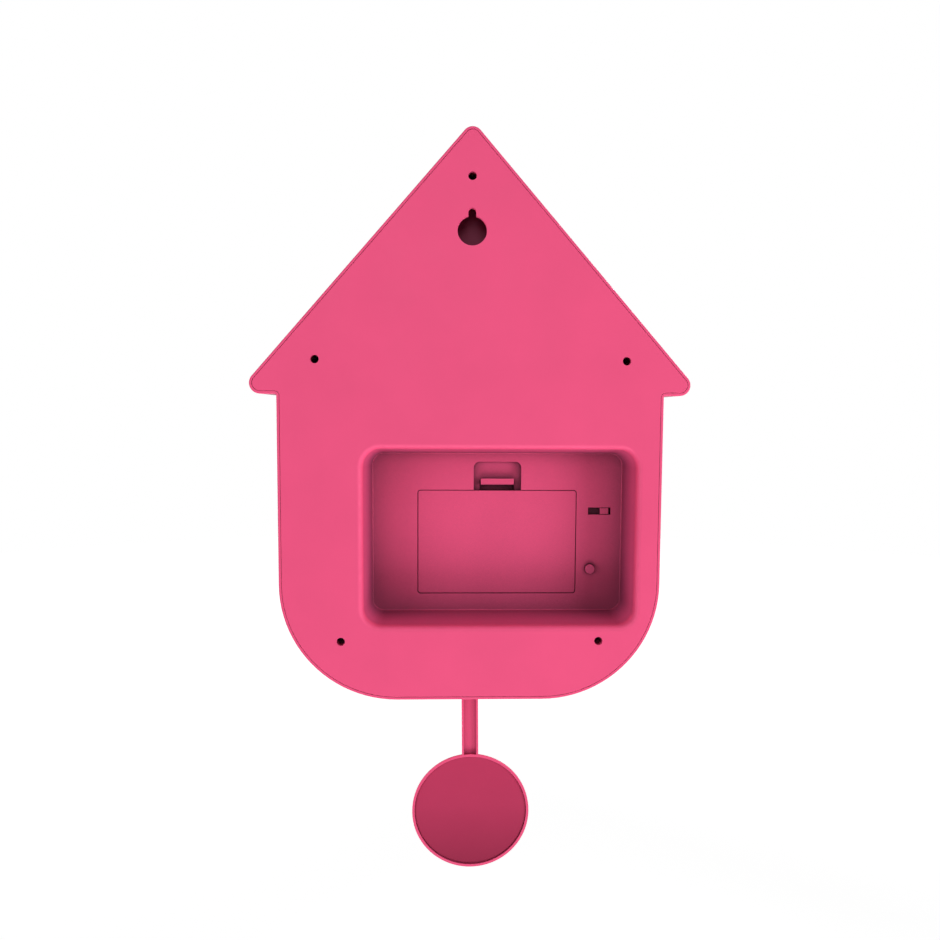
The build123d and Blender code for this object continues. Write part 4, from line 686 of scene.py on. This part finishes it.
def make_springs():
    """Wound closing springs round the hinge pins."""
    low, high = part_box("door_springs")
    shape = bmesh.new()
    bottom, top = low[2] + SPRING_WIRE, high[2] - SPRING_WIRE
    axis_x, axis_y = high[0] - SPRING_OUTER, (low[1] + high[1]) / 2
    out = SPRING_OUTER - SPRING_WIRE
    steps = SPRING_TURNS * SPRING_STEPS
    for side in (-1, 1):
        points = []
        for step in range(steps + 1):
            angle = tau * step / SPRING_STEPS
            z = bottom + (top - bottom) * step / steps
            points.append(Vector((side * axis_x + out * cos(angle), axis_y + out * sin(angle), z)))
        tube(shape, points, SPRING_WIRE, SPRING_SIDES)
    springs = finish_piece("wound_springs", shape, "case", "steel")
    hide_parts("door_springs")


def make_details():
    """The pieces that are added to the CAD model or replace a node of it."""
    make_minute_track()
    make_numbers()
    for inlay in INLAYS:
        make_hand_inlay(*inlay)
    make_door_trim(-1, "left_leaf", "left_door")
    make_door_trim(1, "right_leaf", "right_door")
    make_feathers(-1, "left_wing_feathers")
    make_feathers(1, "right_wing_feathers")
    make_springs()


def make_camera():
    """Camera at the photograph's viewpoint."""
    data = bpy.data.cameras.new("photo_camera")
    data.lens = CAMERA_LENS
    data.sensor_width = CAMERA_SENSOR
    data.clip_start = CAMERA_CLIP
    camera = add_object("photo_camera", data)
    turn = Euler([radians(angle) for angle in CAMERA_TURNS]).to_matrix().to_4x4()
    camera.matrix_world = Matrix.Translation(CAMERA_PLACE) @ turn
    bpy.context.scene.camera = camera


def make_lamps():
    """Round soft lamps: at a level of one, a white face that looks at the lamp is lit to white."""
    target = Vector(LAMP_TARGET)
    for name, way, size, level in LAMPS:
        data = bpy.data.lights.new(name, "AREA")
        data.shape = "DISK"
        data.size = size
        data.energy = level * pi ** 2 * LAMP_REACH ** 2
        lamp = add_object(name, data)
        away = Vector(way).normalized()
        lamp.location = target + away * LAMP_REACH
        lamp.rotation_mode = "QUATERNION"
        lamp.rotation_quaternion = away.to_track_quat("Z", "Y")
        lamp.visible_camera = False


def seen_directly(nodes, links):
    """One where a ray from the camera, a reflection or glass arrives, nought elsewhere."""
    path = nodes.new("ShaderNodeLightPath")
    seen = path.outputs[SEEN_RAYS[0]]
    for name in SEEN_RAYS[1:]:
        either = nodes.new("ShaderNodeMath")
        either.operation = "MAXIMUM"
        links.new(seen, either.inputs[0])
        links.new(path.outputs[name], either.inputs[1])
        seen = either.outputs["Value"]
    return seen


def make_world():
    """Dim light from all round that is seen as plain white."""
    world = bpy.data.worlds.new("studio")
    bpy.context.scene.world = world
    world.use_nodes = True
    nodes, links = world.node_tree.nodes, world.node_tree.links
    nodes.clear()
    room = nodes.new("ShaderNodeBackground")
    room.inputs["Strength"].default_value = AMBIENT
    white = nodes.new("ShaderNodeBackground")
    white.inputs["Strength"].default_value = 1.0
    for light in (room, white):
        light.inputs["Color"].default_value = WHITE
    mix = nodes.new("ShaderNodeMixShader")
    links.new(seen_directly(nodes, links), mix.inputs["Fac"])
    links.new(room.outputs["Background"], mix.inputs[1])
    links.new(white.outputs["Background"], mix.inputs[2])
    output = nodes.new("ShaderNodeOutputWorld")
    links.new(mix.outputs["Shader"], output.inputs["Surface"])


def floor_paper():
    """Pale paper that is lifted to white where it is seen, more so far away."""
    material = bpy.data.materials.new("floor")
    material.use_nodes = True
    nodes, links = material.node_tree.nodes, material.node_tree.links
    nodes.clear()
    paper = nodes.new("ShaderNodeBsdfDiffuse")
    paper.inputs["Color"].default_value = (FLOOR_TONE, FLOOR_TONE, FLOOR_TONE, 1.0)
    place = nodes.new("ShaderNodeTexCoord")
    away = nodes.new("ShaderNodeVectorMath")
    away.operation = "LENGTH"
    links.new(place.outputs["Object"], away.inputs[0])
    fade = nodes.new("ShaderNodeMapRange")
    fade.inputs["From Min"].default_value, fade.inputs["From Max"].default_value = FLOOR_FADE
    fade.inputs["To Min"].default_value, fade.inputs["To Max"].default_value = FLOOR_LIFT
    links.new(away.outputs["Value"], fade.inputs["Value"])
    level = nodes.new("ShaderNodeMath")
    level.operation = "MULTIPLY"
    links.new(seen_directly(nodes, links), level.inputs[0])
    links.new(fade.outputs["Result"], level.inputs[1])
    lift = nodes.new("ShaderNodeEmission")
    links.new(level.outputs["Value"], lift.inputs["Strength"])
    both = nodes.new("ShaderNodeAddShader")
    links.new(paper.outputs["BSDF"], both.inputs[0])
    links.new(lift.outputs["Emission"], both.inputs[1])
    output = nodes.new("ShaderNodeOutputMaterial")
    links.new(both.outputs["Shader"], output.inputs["Surface"])
    return material


def make_floor():
    """Wide round floor far below the clock."""
    mesh = bpy.data.meshes.new("floor")
    shape = bmesh.new()
    bmesh.ops.create_circle(shape, cap_ends=True, segments=FLOOR_SIDES, radius=FLOOR_RADIUS)
    shape.to_mesh(mesh)
    shape.free()
    mesh.materials.append(floor_paper())
    floor = add_object("floor", mesh)
    floor.location.z = FLOOR_Z


bpy.context.scene.view_settings.view_transform = "Standard"
make_camera()
make_world()
make_floor()
make_lamps()
dress_cad()
make_details()
